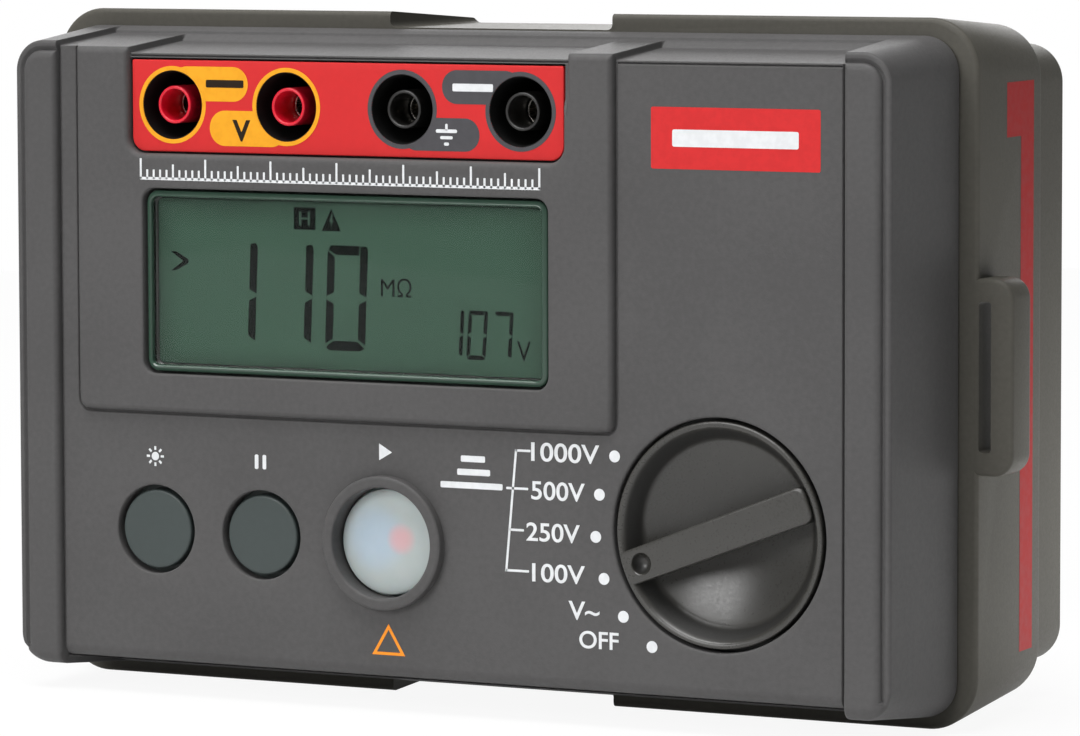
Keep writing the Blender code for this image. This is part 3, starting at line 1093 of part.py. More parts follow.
def cells():
    """Rows of two cells, head to tail, with a sprung contact strip at each end of the bay."""
    depth = BAY_FLOOR + GAP + CELL_RADIUS
    for row, z in enumerate(row_heights()):
        for column in (0, 1):
            x = (column - 0.5) * (CELL_LENGTH + CELL_NUB + GAP)
            cell(f"cell_{2 * row + column + 1}", x, depth, z, 1 if row % 2 == 0 else -1)
    reach = CELL_LENGTH + CELL_NUB + GAP / 2
    back = BAY_WIDTH / 2 - GAP
    half = BAY_HEIGHT / 2 - GAP
    length = back - reach - GAP
    for name, side in (("left", -1), ("right", 1)):
        ends = sorted((side * back, side * (back - STRIP_THICK)))
        span = CENTRE_Z - half, CENTRE_Z + half, BAY_FLOOR + GAP, BAY_FLOOR + 2 * CELL_RADIUS
        strip = block(f"contact_strip_{name}", *ends, *span, NICKEL)
        springs = []
        for row, z in enumerate(row_heights(), 1):
            place_at = side * (back - length / 2), depth, z
            label = f"spring_{name}_{row}"
            springs.append(cylinder_along_x(label, STRIP_SPRING_RADIUS, length, *place_at, steps=10))
        combine(strip, springs, "UNION")


front_case()
rear_case()
case_screws()
battery_cover()
input_panel()
sockets()
display()
small_button("light_button", LIGHT_X)
small_button("hold_button", HOLD_X)
test_button()
key_switches()
knob()
rotor()
boards()
components()
cells()
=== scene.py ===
"""Looks of the insulation resistance tester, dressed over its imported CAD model.

All shapes are worked out in millimetres in the model's own frame: +Z up, the panel faces -Y. A depth
is counted from the panel's plane and grows towards the back. An outline is an (n, 2) array of (x, z).
"""

import json
from math import cos, pi, radians, sin

import bmesh
import bpy
import numpy as np
from mathutils import Matrix, Vector


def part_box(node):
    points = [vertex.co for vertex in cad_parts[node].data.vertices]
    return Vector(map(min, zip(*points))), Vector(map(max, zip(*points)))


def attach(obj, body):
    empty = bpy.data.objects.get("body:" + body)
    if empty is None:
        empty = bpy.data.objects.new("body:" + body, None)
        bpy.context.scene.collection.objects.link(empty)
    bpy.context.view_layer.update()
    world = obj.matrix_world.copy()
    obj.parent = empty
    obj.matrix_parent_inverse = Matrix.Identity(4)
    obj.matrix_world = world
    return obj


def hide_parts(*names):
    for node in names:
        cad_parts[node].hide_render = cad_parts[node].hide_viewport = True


bl_info = {
    "name": "Insulation Resistance Tester",
    "version": (1, 0, 0),
    "blender": (4, 5, 0),
    "location": "View3D > Sidebar > Tester",
    "description": "Builds the finished look of an insulation resistance tester piece by piece",
    "category": "Add Mesh",
}

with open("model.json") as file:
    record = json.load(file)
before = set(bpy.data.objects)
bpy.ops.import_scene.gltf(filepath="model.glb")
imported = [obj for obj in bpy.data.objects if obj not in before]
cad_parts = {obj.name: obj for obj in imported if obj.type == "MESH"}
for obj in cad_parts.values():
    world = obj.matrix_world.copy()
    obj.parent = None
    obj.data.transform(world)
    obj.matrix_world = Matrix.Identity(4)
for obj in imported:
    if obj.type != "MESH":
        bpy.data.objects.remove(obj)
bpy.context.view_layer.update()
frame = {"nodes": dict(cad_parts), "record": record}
MM = 0.001
WELD = 1e-6  # metres; points closer than this become one


def span(node):
    """A CAD node's lowest and highest corner, in millimetres."""
    low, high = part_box(node)
    return np.array(low) / MM, np.array(high) / MM


def sides(node):
    """A CAD node's left, right, lower and upper sides."""
    low, high = span(node)
    return low[0], high[0], low[2], high[2]


def axis_of(node):
    """(x, z) of a turned CAD node's axis."""
    left, right, low, high = sides(node)
    return (left + right) / 2, (low + high) / 2


def depths(node):
    """(front, back) depth of a CAD node."""
    low, high = span(node)
    return low[1] - PANEL, high[1] - PANEL


PANEL = span("input_panel")[0][1]
FACE_LOW, FACE_HIGH = span("front_case")
SHELL_LOW, SHELL_HIGH = span("rear_case")
SHEET, WINDOW, COVER = sides("input_panel"), sides("display_window"), sides("battery_cover")
KNOB_X, KNOB_Z = axis_of("selector_knob")
TEST_X, TEST_Z = axis_of("test_button")
SOCKETS = [axis_of(f"socket_sleeve_{number}") for number in range(1, 5)]
KEYS = {name: axis_of(f"{name}_button") for name in ("light", "hold")}


# Shapes -------------------------------------------------------------------------------------


def grid(points, wrap=False):
    """A (rows, columns, 3) array of points as a patch of quads; wrap joins the last column to the first."""
    rows, columns = points.shape[:2]
    i, j = np.meshgrid(np.arange(rows - 1), np.arange(columns if wrap else columns - 1), indexing="ij")
    k = (j + 1) % columns
    quads = np.stack([i * columns + j, (i + 1) * columns + j, (i + 1) * columns + k, i * columns + k], -1)
    return points.reshape(-1, 3), quads.reshape(-1, 4).tolist()


def placed(outline, depth):
    """An outline's points at a depth, or each at a depth of its own."""
    return np.column_stack([outline[:, 0], PANEL + np.broadcast_to(depth, len(outline)), outline[:, 1]])


def lid(ring):
    """One flat face over a ring of points."""
    return ring, [list(range(len(ring)))]


def loft(sections, ends=True):
    """A surface through outlines of equal length: row k is outline k at depth k, with flat ends."""
    rows = [placed(*section) for section in sections]
    lids = [lid(rows[0]), lid(rows[-1])] if ends else []
    return [grid(np.stack(rows), wrap=True), *lids]


def turned(profile, x, z, steps=96):
    """A (radius, depth) profile turned about (x, z): x + r cos t, depth, z + r sin t, for t once round."""
    radius, depth = np.array(profile, float).T[:, :, None]
    t = np.linspace(0, 2 * pi, steps, endpoint=False)
    points = np.stack([x + radius * np.cos(t), PANEL + depth + 0 * t, z + radius * np.sin(t)], -1)
    return [grid(points, wrap=True)]


def rod(x, z, radius, front, back, steps=96):
    """A plain round bar or bore between two depths."""
    return turned([(0, front), (radius, front), (radius, back), (0, back)], x, z, steps)


def front_round(radius, depth, steps=4):
    """(inset, depth) along a quarter round at a front edge: r (1 - sin t) in and r (1 - cos t) behind it."""
    return [(radius * (1 - sin(t)), depth + radius * (1 - cos(t))) for t in np.linspace(0, pi / 2, steps + 1)]


def rear_round(radius, depth, steps=4):
    """The same at a back edge: r (1 - cos t) in and r (1 - sin t) in front of it."""
    return [(radius * (1 - cos(t)), depth - radius * (1 - sin(t))) for t in np.linspace(0, pi / 2, steps + 1)]


def eased(points, radius, steps=5):
    """A polyline with its corners rounded. Corner p, between a and b, becomes the curve
    (1-t)^2 p1 + 2 t (1-t) p + t^2 p2, where p1 and p2 lie the radius away along each side, or just
    under half the side if that is less.
    """
    points = np.array(points, float)
    result = [points[0]]
    t = np.linspace(0, 1, steps + 1)[:, None]
    for before, corner, after in zip(points, points[1:], points[2:]):
        ends = []
        for other in (before, after):
            length = np.linalg.norm(other - corner)
            ends.append(corner + (other - corner) / length * min(radius, 0.48 * length))
        result += list((1 - t) ** 2 * ends[0] + 2 * t * (1 - t) * corner + t**2 * ends[1])
    return np.array([*result, points[-1]])


def about(z, wide, tall, inset=0.0):
    """The sides of a rectangle about x = 0 and z, from its half sizes less an inset."""
    return inset - wide, wide - inset, z - tall + inset, z + tall - inset


def grown(box, amount):
    """A rectangle's sides, each moved outwards."""
    return box[0] - amount, box[1] + amount, box[2] - amount, box[3] + amount


def rounded(x0, x1, z0, z1, radius, arc=10, upper=None):
    """A rectangle's outline with quarter-circle corners, the upper two of another radius if given."""
    top = radius if upper is None else upper
    corners = [(x1 - top, z1 - top, top), (x0 + top, z1 - top, top)]
    corners += [(x0 + radius, z0 + radius, radius), (x1 - radius, z0 + radius, radius)]
    arcs = []
    for quarter, (x, z, size) in enumerate(corners):
        t = np.linspace(0, pi / 2, arc + 1) + quarter * pi / 2
        arcs.append(np.column_stack([x + size * np.cos(t), z + size * np.sin(t)]))
    return np.concatenate(arcs)


def slab(x0, x1, z0, z1, radius, front, back, edge=0.2, arc=10, steps=4, rear_edge=0.0, upper=None):
    """A rounded rectangle between two depths, its front rim eased by a quarter circle of radius edge."""

    def ring(inset):
        top = None if upper is None else max(upper - inset, 0.02)
        return rounded(*grown((x0, x1, z0, z1), -inset), max(radius - inset, 0.02), arc, top)

    rear = rear_round(rear_edge, back, steps) if rear_edge else [(0, back)]
    return loft([(ring(inset), depth) for inset, depth in front_round(edge, front, steps) + rear])


def disc_outline(x, z, radius, steps=64):
    """A circle as an outline."""
    t = np.linspace(0, 2 * pi, steps, endpoint=False)
    return np.column_stack([x + radius * np.cos(t), z + radius * np.sin(t)])


def prism(outline, front, back):
    """An outline carried straight between two depths."""
    return loft([(np.asarray(outline, float), front), (np.asarray(outline, float), back)])


def box_distance(x, z, x0, x1, z0, z1, radius):
    """Signed distance from a rounded rectangle's edge, below zero inside it."""
    across = np.abs(x - (x0 + x1) / 2) - (x1 - x0) / 2 + radius
    up = np.abs(z - (z0 + z1) / 2) - (z1 - z0) / 2 + radius
    outside = np.hypot(np.maximum(across, 0), np.maximum(up, 0))
    return outside + np.minimum(np.maximum(across, up), 0) - radius


def step(distance, width):
    """1 inside an edge, 0 outside it, with a smooth ramp of the given width: 3 t^2 - 2 t^3."""
    t = np.clip(0.5 - distance / width, 0, 1)
    return t * t * (3 - 2 * t)


def lines(low, high, pitch, features):
    """Grid lines at a coarse pitch with finer ones about each feature, given as (place, reach, pitch).
    They fall on hundredths, apart from the two ends, and keep a small gap from those.
    """
    gap = 0.015
    found = [np.linspace(low, high, int((high - low) / pitch) + 2)]
    for place, reach, fine in features:
        found.append(np.arange(place - reach, place + reach + fine / 2, fine))
    found = np.unique(np.round(np.concatenate(found), 2))
    return np.array([low, *found[(found > low + gap) & (found < high - gap)], high])


def mesh_from(name, patches):
    """Joins patches into one closed mesh: seams and poles welded, faces outwards, millimetres to metres."""
    points, faces, start = [], [], 0
    for spots, polygons in patches:
        points.append(spots)
        faces += [[start + i for i in polygon] for polygon in polygons]
        start += len(spots)
    mesh = bpy.data.meshes.new(name)
    mesh.from_pydata((np.concatenate(points) * MM).tolist(), [], faces)
    closed = bmesh.new()
    closed.from_mesh(mesh)
    bmesh.ops.remove_doubles(closed, verts=closed.verts, dist=WELD)
    bmesh.ops.recalc_face_normals(closed, faces=closed.faces)
    closed.to_mesh(mesh)
    closed.free()
    return mesh


def combined(mesh, cuts=(), joins=()):
    """A mesh with closed bodies joined to it and others cut from it, in that order."""
    base = bpy.data.objects.new("base", mesh)
    bpy.context.scene.collection.objects.link(base)
    tools = []
    for bodies, operation in ((joins, "UNION"), (cuts, "DIFFERENCE")):
        for body in bodies:
            tool = bpy.data.objects.new("helper", mesh_from("helper", body))
            bpy.context.scene.collection.objects.link(tool)
            tools.append(tool)
            modifier = base.modifiers.new("Combine", "BOOLEAN")
            modifier.operation, modifier.solver, modifier.object = operation, "MANIFOLD", tool
    evaluated = base.evaluated_get(bpy.context.evaluated_depsgraph_get())
    result = bpy.data.meshes.new_from_object(evaluated)
    for spent in (base, *tools):
        bpy.data.objects.remove(spent)
    return result


def piece(name, shape, look, slot=None, stands_for=(), sharp=32.0, body="case"):
    """Adds a finished piece that rides a body: shape is a mesh or a list of patches."""
    mesh = shape if isinstance(shape, bpy.types.Mesh) else mesh_from(name, shape)
    mesh.name = name
    mesh.materials.clear()
    mesh.materials.append(look)
    mesh.shade_smooth()
    mesh.set_sharp_from_angle(angle=radians(sharp))
    item = bpy.data.objects.new(name, mesh)
    bpy.context.scene.collection.objects.link(item)
    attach(item, body)
    if stands_for:
        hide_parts(*stands_for)
    return item


# Front case ---------------------------------------------------------------------------------

FACE_DEPTH = FACE_HIGH[1] - PANEL  # back edge of the front case
RAISED = PANEL - FACE_LOW[1]  # the bib and the columns stand this proud of the panel
FACE_Z = (FACE_LOW[2] + FACE_HIGH[2]) / 2
SPREAD = 1.8, 1.75  # how much wider and taller each side is at the back than at the front
CORNERS = 4.5, 5.2  # corner radius at the front and at the back
EDGES = 0.12, 1.0, 1.8  # rounding of the panel's top edge, of a raised edge there and of the bottom edge
FILLET = 0.85  # rounding of the bib and the columns
GROOVE = 0.36, 0.27, 0.42  # the groove at their foot: its width, the lip beyond it and its depth
BACK_EDGE = 0.35, 0.4  # how far the back edge is drawn in, and over what depth
INNER = 2.4  # wall
CLEAR = 0.3  # round the sheet, the window and the battery cover
BEFORE = -6.0  # a depth in front of everything, where cutters begin
CHANNEL_END = 14.4  # the top channels end at this depth, in a ramp and a lip
COLUMN_WIDTH, COLUMN_MARGIN = 5.8, 1.3
FACE_X = FACE_HIGH[0] - SPREAD[0]  # half width and half height at the front
FACE_H = FACE_HIGH[2] - FACE_Z - SPREAD[1]
COLUMN_INNER = FACE_X - COLUMN_MARGIN - COLUMN_WIDTH
BIB_LEFT = 3.5 - COLUMN_INNER
BIB_RIGHT = SHEET[1] + 8.0
BIB_BOTTOM = WINDOW[2] - 5.9
RIB_RIGHT = SHEET[1] + 0.9  # inner edges of the ribs either side of the red sheet, over the top
RIB_LEFT = SHEET[0] - 0.3
SEAM = 0.35, 0.33, 0.6, 0.45  # its depth, how far below the top edge it starts and ends, and its easing
STEP = 0.35  # width of the wall at each raised edge along the top
HOLES = 6.0, 6.5, 9.0, 16.45  # radii of the openings for a socket, a small key, the test key and the knob
LEDGE = 1.4  # the window's ledge
COARSE = 2.6  # pitch of the face's grid away from its edges
# How far from the edge the rings on the face lie, and the depths of those down the sides.
FACE_RINGS = 1.6, 1.75, 1.95, 2.2, 2.5, 3, 3.6, 4.4
SIDE_RINGS = (
    *(1.2, 2, 3.2, 5, 7.5, 10, 12.5, 14, 14.25, CHANNEL_END, 14.55, 14.8, 15.2, 15.7),
    *(15.75, 15.9, 16.1, 16.4, 16.8, 17.3, 17.7),
)


def rise(distance, radius):
    """0 outside an edge and 1 inside it, by a quarter circle: sqrt(1 - (1 - d / r)^2)."""
    share = np.clip(distance / radius, 0, 1)
    return np.sqrt(1 - (1 - share) ** 2)


def raised_edge(inside):
    """Height across a raised edge from the distance inside it: a fillet up to 1, a flat groove at its
    foot and an eased lip beyond the groove.
    """
    width, lip, depth = GROOVE
    foot = -depth * np.where(inside > -width, 1, 1 - rise(-inside - width, lip))
    return np.where(inside > 0, rise(inside, FILLET), foot)


def face_level(x, z):
    """How proud of the panel the face is at (x, z): the bib, and columns made of a pad and a ridge
    round the outside with a valley between them, with a seam just below the top edge.
    """
    top, low = FACE_Z + FACE_H, FACE_Z - FACE_H
    margin = -box_distance(x, z, -FACE_X, FACE_X, low - 9, top, CORNERS[0])
    pad = 0.12 + np.maximum(0.4 * step(margin - 1.05, 0.6), 0.88 * rise(margin - 1.45, 1.2))
    between = box_distance(x, z, -COLUMN_INNER, COLUMN_INNER, low - 0.3, top + 9, 2.5)
    column = np.minimum(raised_edge(between), pad)
    bib = raised_edge(-box_distance(x, z, BIB_LEFT, BIB_RIGHT, BIB_BOTTOM, top + 9, 1.6))
    rib = np.where(z > (SHEET[2] + SHEET[3]) / 2, rise(np.maximum(RIB_LEFT - x, x - RIB_RIGHT), 0.8), 1)
    bib = np.where(bib > 0, bib * rib, bib)
    level = np.where(np.maximum(column, bib) > 0, np.maximum(column, bib), np.minimum(column, bib))
    below = top - z
    depth, start, end, ease = SEAM
    seam = -depth * (below > start) * np.where(below < end, 1, 1 - rise(below - end, ease))
    plain = (np.abs(level) < 0.02) & (x > RIB_LEFT) & (x < COLUMN_INNER)
    return RAISED * np.where(plain, seam, level)


def top_channels(x):
    """Along the top: 1 where it lies lower than the columns, and 1 where a channel goes deeper still."""
    low = 1 - step(COLUMN_INNER - np.abs(x), STEP)
    sheet = step(np.maximum(RIB_LEFT - x, x - RIB_RIGHT), STEP)
    return low, low * np.maximum(sheet, step(BIB_RIGHT - x, STEP))


def foot_channel(x):
    """Along the bottom: 1 between the columns, and a shallower channel there."""
    low = 1 - step(COLUMN_INNER - np.abs(x), STEP)
    return low, 0.6 * low


def drawn_in(depth):
    """How far the low parts and the channels are set in at a depth, up to the ramp and lip that end them."""
    low = np.interp(depth, (0, CHANNEL_END, 15.75, 15.9, 16.8, 18.0), (0.75, 0.85, 0.85, 0.5, 0.2, 0))
    return np.array([low, np.interp(depth, (0, CHANNEL_END, 14.55, 15.7), (0.9, 0.9, 0.7, 0))])


def face_sizes(depth):
    """Half width, half height and corner radius of the front case at a depth."""
    share = np.clip((depth - 0.2) / (FACE_DEPTH - 0.2), 0, 1)
    corner = CORNERS[0] + (CORNERS[1] - CORNERS[0]) * share
    return FACE_X + SPREAD[0] * share, FACE_H + SPREAD[1] * share, corner


def face_rim(xs, zs, arc):
    """Once round the inner rectangle: its points, the outward direction at each, and its two channel
    shares.

    The rectangle's corners are the centres of the face's round corners, so a corner point repeats there
    while its direction turns.
    """
    turn = np.linspace(0, pi / 2, arc + 1)[1:-1]
    sides = [(np.full(len(zs), xs[-1]), zs, None), (xs[::-1], np.full(len(xs), zs[-1]), top_channels)]
    sides += [(np.full(len(zs), xs[0]), zs[::-1], None), (xs, np.full(len(xs), zs[0]), foot_channel)]
    spots, ways, shares = [], [], []
    for side, (x, z, channels) in enumerate(sides):
        start = side * pi / 2
        angle = start + turn
        spots += [np.column_stack([x, z]), np.tile([x[-1], z[-1]], (len(turn), 1))]
        straight = np.tile([cos(start), sin(start)], (len(x), 1))
        ways += [straight, np.column_stack([np.cos(angle), np.sin(angle)])]
        along = np.column_stack(channels(x) if channels else np.zeros((2, len(x))))
        shares += [along, np.zeros((len(turn), 2))]
    return np.concatenate(spots), np.concatenate(ways), np.concatenate(shares)


def face_grid():
    """The face's grid lines in x and in z, close together at each raised edge."""
    half_x, half_z = FACE_X - CORNERS[0], FACE_H - CORNERS[0]
    offsets = ((-0.3, 0.06), (0.6, 0.1))
    upright = [(side * (COLUMN_INNER + off), 0.5, fine) for off, fine in offsets for side in (-1, 1)]
    for place, way in ((BIB_LEFT, 1), (BIB_RIGHT, -1)):
        upright += [(place - 0.3 * way, 0.48, 0.06), (place + 0.55 * way, 0.4, 0.1)]
    upright += [(RIB_LEFT - 0.4, 0.6, 0.08), (RIB_RIGHT + 0.4, 0.6, 0.08)]
    level = [(BIB_BOTTOM - 0.3, 0.48, 0.06), (BIB_BOTTOM + 0.55, 0.4, 0.1)]
    return lines(-half_x, half_x, COARSE, upright), lines(FACE_Z - half_z, FACE_Z + half_z, COARSE, level)


def face_rings(spots, ways, shares):
    """Rings from the inner rectangle to the edge, by a share of the way along each direction, then
    through an ellipse round the edge, whose size follows the height of the face beside it.
    """
    sharp, soft, foot = EDGES
    beside = 0.9  # how far inside the edge the height is taken
    near = spots + ways * (CORNERS[0] - beside)
    edge = sharp + (soft - sharp) * np.clip(face_level(*near.T) / RAISED, 0, 1)
    edge += (foot - edge) * np.clip(-ways[:, 1], 0, 1) ** 2
    last, drop = CORNERS[0] - edge, shares @ drawn_in(0)
    inside = np.concatenate([lines(0, 1.5, 0.1, [(0.45, 0.2, 0.05)]), FACE_RINGS])[::-1]
    rings = []
    for share in 1 - inside / inside[0]:
        plain = spots + ways * (last * share)[:, None]
        level = face_level(*plain.T)
        rings.append((plain - ways * (drop * share)[:, None], -level))
    for turn in np.linspace(0, pi / 2, 8)[1:]:
        out = last + edge * sin(turn) - drop
        rings.append((spots + ways * out[:, None], edge * (1 - cos(turn)) - level))
    return rings


def side_rings(spots, ways, shares):
    """Rings down the drafted sides to the rounded back edge, drawn in along the channels."""
    half_x, half_z = FACE_X - CORNERS[0], FACE_H - CORNERS[0]
    centre, keep = np.array([0, FACE_Z]), COLUMN_INNER + 0.6
    inward, over = BACK_EDGE
    rings = []
    for depth in (*SIDE_RINGS, *(FACE_DEPTH - over * share for share in (1, 0.5, 0.2, 0))):
        wide, tall, corner = face_sizes(depth)
        base = centre + (spots - centre) * [1, (tall - corner) / half_z]
        beyond = np.clip(np.abs(spots[:, 0]) - keep, 0, None) * (wide - corner - half_x) / (half_x - keep)
        base[:, 0] += np.sign(spots[:, 0]) * beyond
        lip = inward * (1 - np.sqrt(1 - np.clip((depth - FACE_DEPTH + over) / over, 0, 1) ** 2))
        rings.append((base + ways * (corner - shares @ drawn_in(depth) - lip)[:, None], depth))
    return rings


def face_blank():
    """The front case's outside as one closed body: inside its inner rectangle the face is
    depth = -level(x, z) on a tensor grid, and rings carry it on from there to the back edge.
    """
    xs, zs = face_grid()
    across, up = np.meshgrid(xs, zs)
    face = grid(np.stack([across, PANEL - face_level(across, up), up], -1))
    rim = face_rim(xs, zs, 16)
    rows = [placed(*ring) for ring in face_rings(*rim) + side_rings(*rim)]
    return [face, grid(np.stack(rows), wrap=True), lid(rows[-1])]


def flared(x, z, radius, front, back, lip=0.3):
    """A turned cutter whose mouth at the panel opens by a quarter round of radius lip."""
    mouth = [(radius + grow, depth) for grow, depth in front_round(lip, front)]
    return turned([(0, BEFORE), (radius + lip, BEFORE), *mouth, (radius, back), (0, back)], x, z, 112)


def pocket(box, radius, front, back, lip=0.25, upper=None):
    """A rounded rectangular cutter whose mouth at the depth front opens by a quarter round of radius lip."""

    def ring(grow):
        return rounded(*grown(box, grow), radius + grow, 12, None if upper is None else upper + grow)

    mouth = [(ring(grow), depth) for grow, depth in front_round(lip, front)]
    return loft([(ring(lip), BEFORE), *mouth, (ring(0), back)])


def front_openings():
    """Cutters for the room behind the face and for every opening in it."""
    room = []
    for depth in (INNER, FACE_DEPTH + 3):
        wide, tall, corner = face_sizes(depth)
        room.append((rounded(*about(FACE_Z, wide, tall, INNER), corner - INNER + 0.4), depth))
    through = INNER + 2
    window = grown(WINDOW, CLEAR)
    socket, key, test, knob = HOLES
    cuts = [loft(room)]
    cuts.append(pocket(grown(SHEET, CLEAR), 2.4, -RAISED, depths("input_panel")[1] + CLEAR, 0.75, 0.2))
    cuts.append(pocket(window, 2.0, -RAISED, depths("display_window")[1] + CLEAR, 0.3))
    cuts.append(prism(rounded(*grown(window, -LEDGE), 1.2, 8), 0, through))
    cuts += [rod(x, z, socket, 0.5, through) for x, z in SOCKETS]
    cuts += [flared(x, z, key, 0, through, 0.25) for x, z in KEYS.values()]
    cuts.append(rod(TEST_X, TEST_Z, test, BEFORE, through))
    cuts.append(flared(KNOB_X, KNOB_Z, knob, 0, through, 0.35))
    return cuts


# Rear case ----------------------------------------------------------------------------------

RIM_DEPTH, SHELL_DEPTH = 18.5, 44.8  # where the main body begins and ends
BACK_DEPTH = SHELL_HIGH[1] - PANEL
CENTRE_Z = (SHELL_LOW[2] + SHELL_HIGH[2]) / 2
SHELL_X = 75.1  # half width of the rim
SHELL_H = (SHELL_HIGH[2] - SHELL_LOW[2]) / 2
SHELL_CORNER, SHELL_DRAFT, SHELL_WALL = 7.5, 1.6, 2.4
BACK_X, BACK_H, BACK_CORNER = 70.2, 45.0, 5.5  # the smaller body at the back
BACK_START = 22  # where it begins, inside the main one
PAST_BACK = 64.0  # where the cutters that come in from the back begin
# The room inside, front to back: its middle, half width, half height, corner and first and last depth.
ROOM = (
    (FACE_Z, 68.4, 43.5, 4, (RIM_DEPTH - 3, 21)),
    (CENTRE_Z, 71.5, 45, 5, (22.2, 42.4)),
    (CENTRE_Z, 67.8, 42.6, 4.3, (42.5, 56.9)),
)
NOTCH_X, NOTCH_DEPTH = 18.15, 2.3
LUG_HALF, LUG_DEPTH, SLOT_HALF = 13.8, 6.9, 10.55
LIP_LENGTH, LIP_CLEAR = 2.0, 0.35
BAY_X, BAY_H, BAY_FLOOR = 55.8, 29.7, 43.3
SCREW_X, SCREW_RISE = 62.0, 36.8
CASE_POST, COVER_POST, POST_END = 4.4, 3.6, 58.7  # the screw columns: their radii and where they end
SHANK, HEAD = 1.8, 3.1  # radii of the holes for a screw and for its head
COVER_SCREWS = COVER[0] + 3.0, COVER[1] - 3.0


def shell_ring(depth, inset=0.0):
    """The rear case's outline at a depth, drawn in by its draft and an inset."""
    inset += SHELL_DRAFT * max(depth - RIM_DEPTH, 0) / (SHELL_DEPTH - RIM_DEPTH)
    return rounded(*about(CENTRE_Z, SHELL_X, SHELL_H, inset), SHELL_CORNER, 16)


def shell_blank():
    """The drafted main body: both its edges are quarter rounds."""
    edge, end = 0.7, 1.2
    front = [(shell_ring(RIM_DEPTH, inset), depth) for inset, depth in front_round(edge, RIM_DEPTH, 5)]
    back = [(shell_ring(SHELL_DEPTH - end, inset), depth) for inset, depth in rear_round(end, SHELL_DEPTH, 5)]
    return loft(front + back)


def lug(side):
    """A strap lug: a rounded block on the rim whose long edges are eased."""
    ends = sorted((side * (SHELL_X - SHELL_WALL), side * SHELL_HIGH[0]))
    box = *ends, CENTRE_Z - LUG_HALF, CENTRE_Z + LUG_HALF
    return slab(*box, 3.0, RIM_DEPTH, RIM_DEPTH + LUG_DEPTH, 0.6, 8, 4, 1.2)


def rear_cuts():
    """Cutters for the room, the notches and the strap slots."""
    room = []
    for z, wide, tall, corner, ends in ROOM:
        room += [(rounded(*about(z, wide, tall), corner), depth) for depth in ends]
    cuts = [loft(room)]
    for side in (-1, 1):
        floor = CENTRE_Z + side * (SHELL_H - NOTCH_DEPTH)
        notch = rounded(-NOTCH_X, NOTCH_X, *sorted((floor, floor + side * 6)), 0.8, 4)
        cuts.append(prism(notch, RIM_DEPTH - 3, BACK_DEPTH + 3))
        ends = sorted((side * (SHELL_X + 0.1), side * (SHELL_X + 2.0)))
        slot = rounded(*ends, CENTRE_Z - SLOT_HALF, CENTRE_Z + SLOT_HALF, 0.5, 4)
        cuts.append(prism(slot, RIM_DEPTH - 3, RIM_DEPTH + 12))
    return cuts


def bay_and_posts():
    """What stands inside the rear case, joined after its room is cut, and the last cuts through it."""
    joins = [slab(*about(CENTRE_Z, BAY_X, BAY_H, -SHELL_WALL), 1, BAY_FLOOR - SHELL_WALL, 59)]
    cuts = [prism(rounded(*about(CENTRE_Z, BAY_X, BAY_H), 0.5, 3), BAY_FLOOR, PAST_BACK)]
    cuts.append(prism(rounded(*grown(COVER, CLEAR), 3.0, 8), BACK_DEPTH - 2.1, PAST_BACK))
    bore = [(0, 15), (SHANK, 15), (SHANK, 38.5), (HEAD, 38.5), (HEAD, 60.1), (3.5, 60.5)]
    bore += [(3.5, PAST_BACK), (0, PAST_BACK)]
    for x in (-SCREW_X, SCREW_X):
        for z in (CENTRE_Z - SCREW_RISE, CENTRE_Z + SCREW_RISE):
            joins.append(rod(x, z, CASE_POST, 18.8, POST_END, 40))
            cuts.append(turned(bore, x, z, 40))
    for x in COVER_SCREWS:
        joins.append(rod(x, CENTRE_Z, COVER_POST, 49.8, POST_END, 40))
        cuts.append(rod(x, CENTRE_Z, SHANK, 52.2, PAST_BACK, 40))
    return joins, cuts


def locating_lip():
    """The ring on the rim that fits inside the front case, whole until the room is cut."""
    wide, tall, _ = face_sizes(RIM_DEPTH - LIP_LENGTH)
    outline = rounded(*about(FACE_Z, wide, tall, INNER + LIP_CLEAR), 5.2, 12)
    return prism(outline, RIM_DEPTH - LIP_LENGTH, RIM_DEPTH + SHELL_WALL / 2)


def rear_shape():
    """The rear case: drafted body, smaller back body, lip and lugs, hollowed, then bay and columns."""
    rings = []
    for inset, depth in [(0.0, BACK_START), *rear_round(1.0, BACK_DEPTH, 5)]:
        rings.append((rounded(*about(CENTRE_Z, BACK_X, BACK_H, inset), BACK_CORNER - inset, 14), depth))
    added = [loft(rings), locating_lip(), lug(-1), lug(1)]
    outside = combined(mesh_from("rear", shell_blank()), rear_cuts(), added)
    joins, cuts = bay_and_posts()
    return combined(outside, cuts, joins)


def battery_lid():
    """The battery cover: two countersunk screw holes and nine finger grooves with sloping sides."""
    bore = [(0, 50), (SHANK, 50), (SHANK, 59.2), (HEAD, 59.3), (HEAD, 59.9), (3.6, 60.6)]
    bore += [(3.6, PAST_BACK), (0, PAST_BACK)]
    cuts = [turned(bore, x, CENTRE_Z, 48) for x in COVER_SCREWS]
    half, tall, slant = 0.7, 12, 0.6  # a groove's half width and half height, and how far its mouth opens
    for x in np.linspace(-24, 24, 9):
        groove = x - half, x + half, CENTRE_Z - tall, CENTRE_Z + tall
        mouth = rounded(*grown(groove, slant), 1.28, 6)
        slope = [(rounded(*groove, 0.69, 6), BACK_DEPTH - 0.55), (mouth, BACK_DEPTH + 0.05)]
        cuts.append(loft([*slope, (mouth, BACK_DEPTH + 2)]))
    cover = slab(*COVER, 3.0, BACK_DEPTH - 1.8, BACK_DEPTH, 0.1, 8, 4, 0.5)
    return combined(mesh_from("cover", cover), cuts)


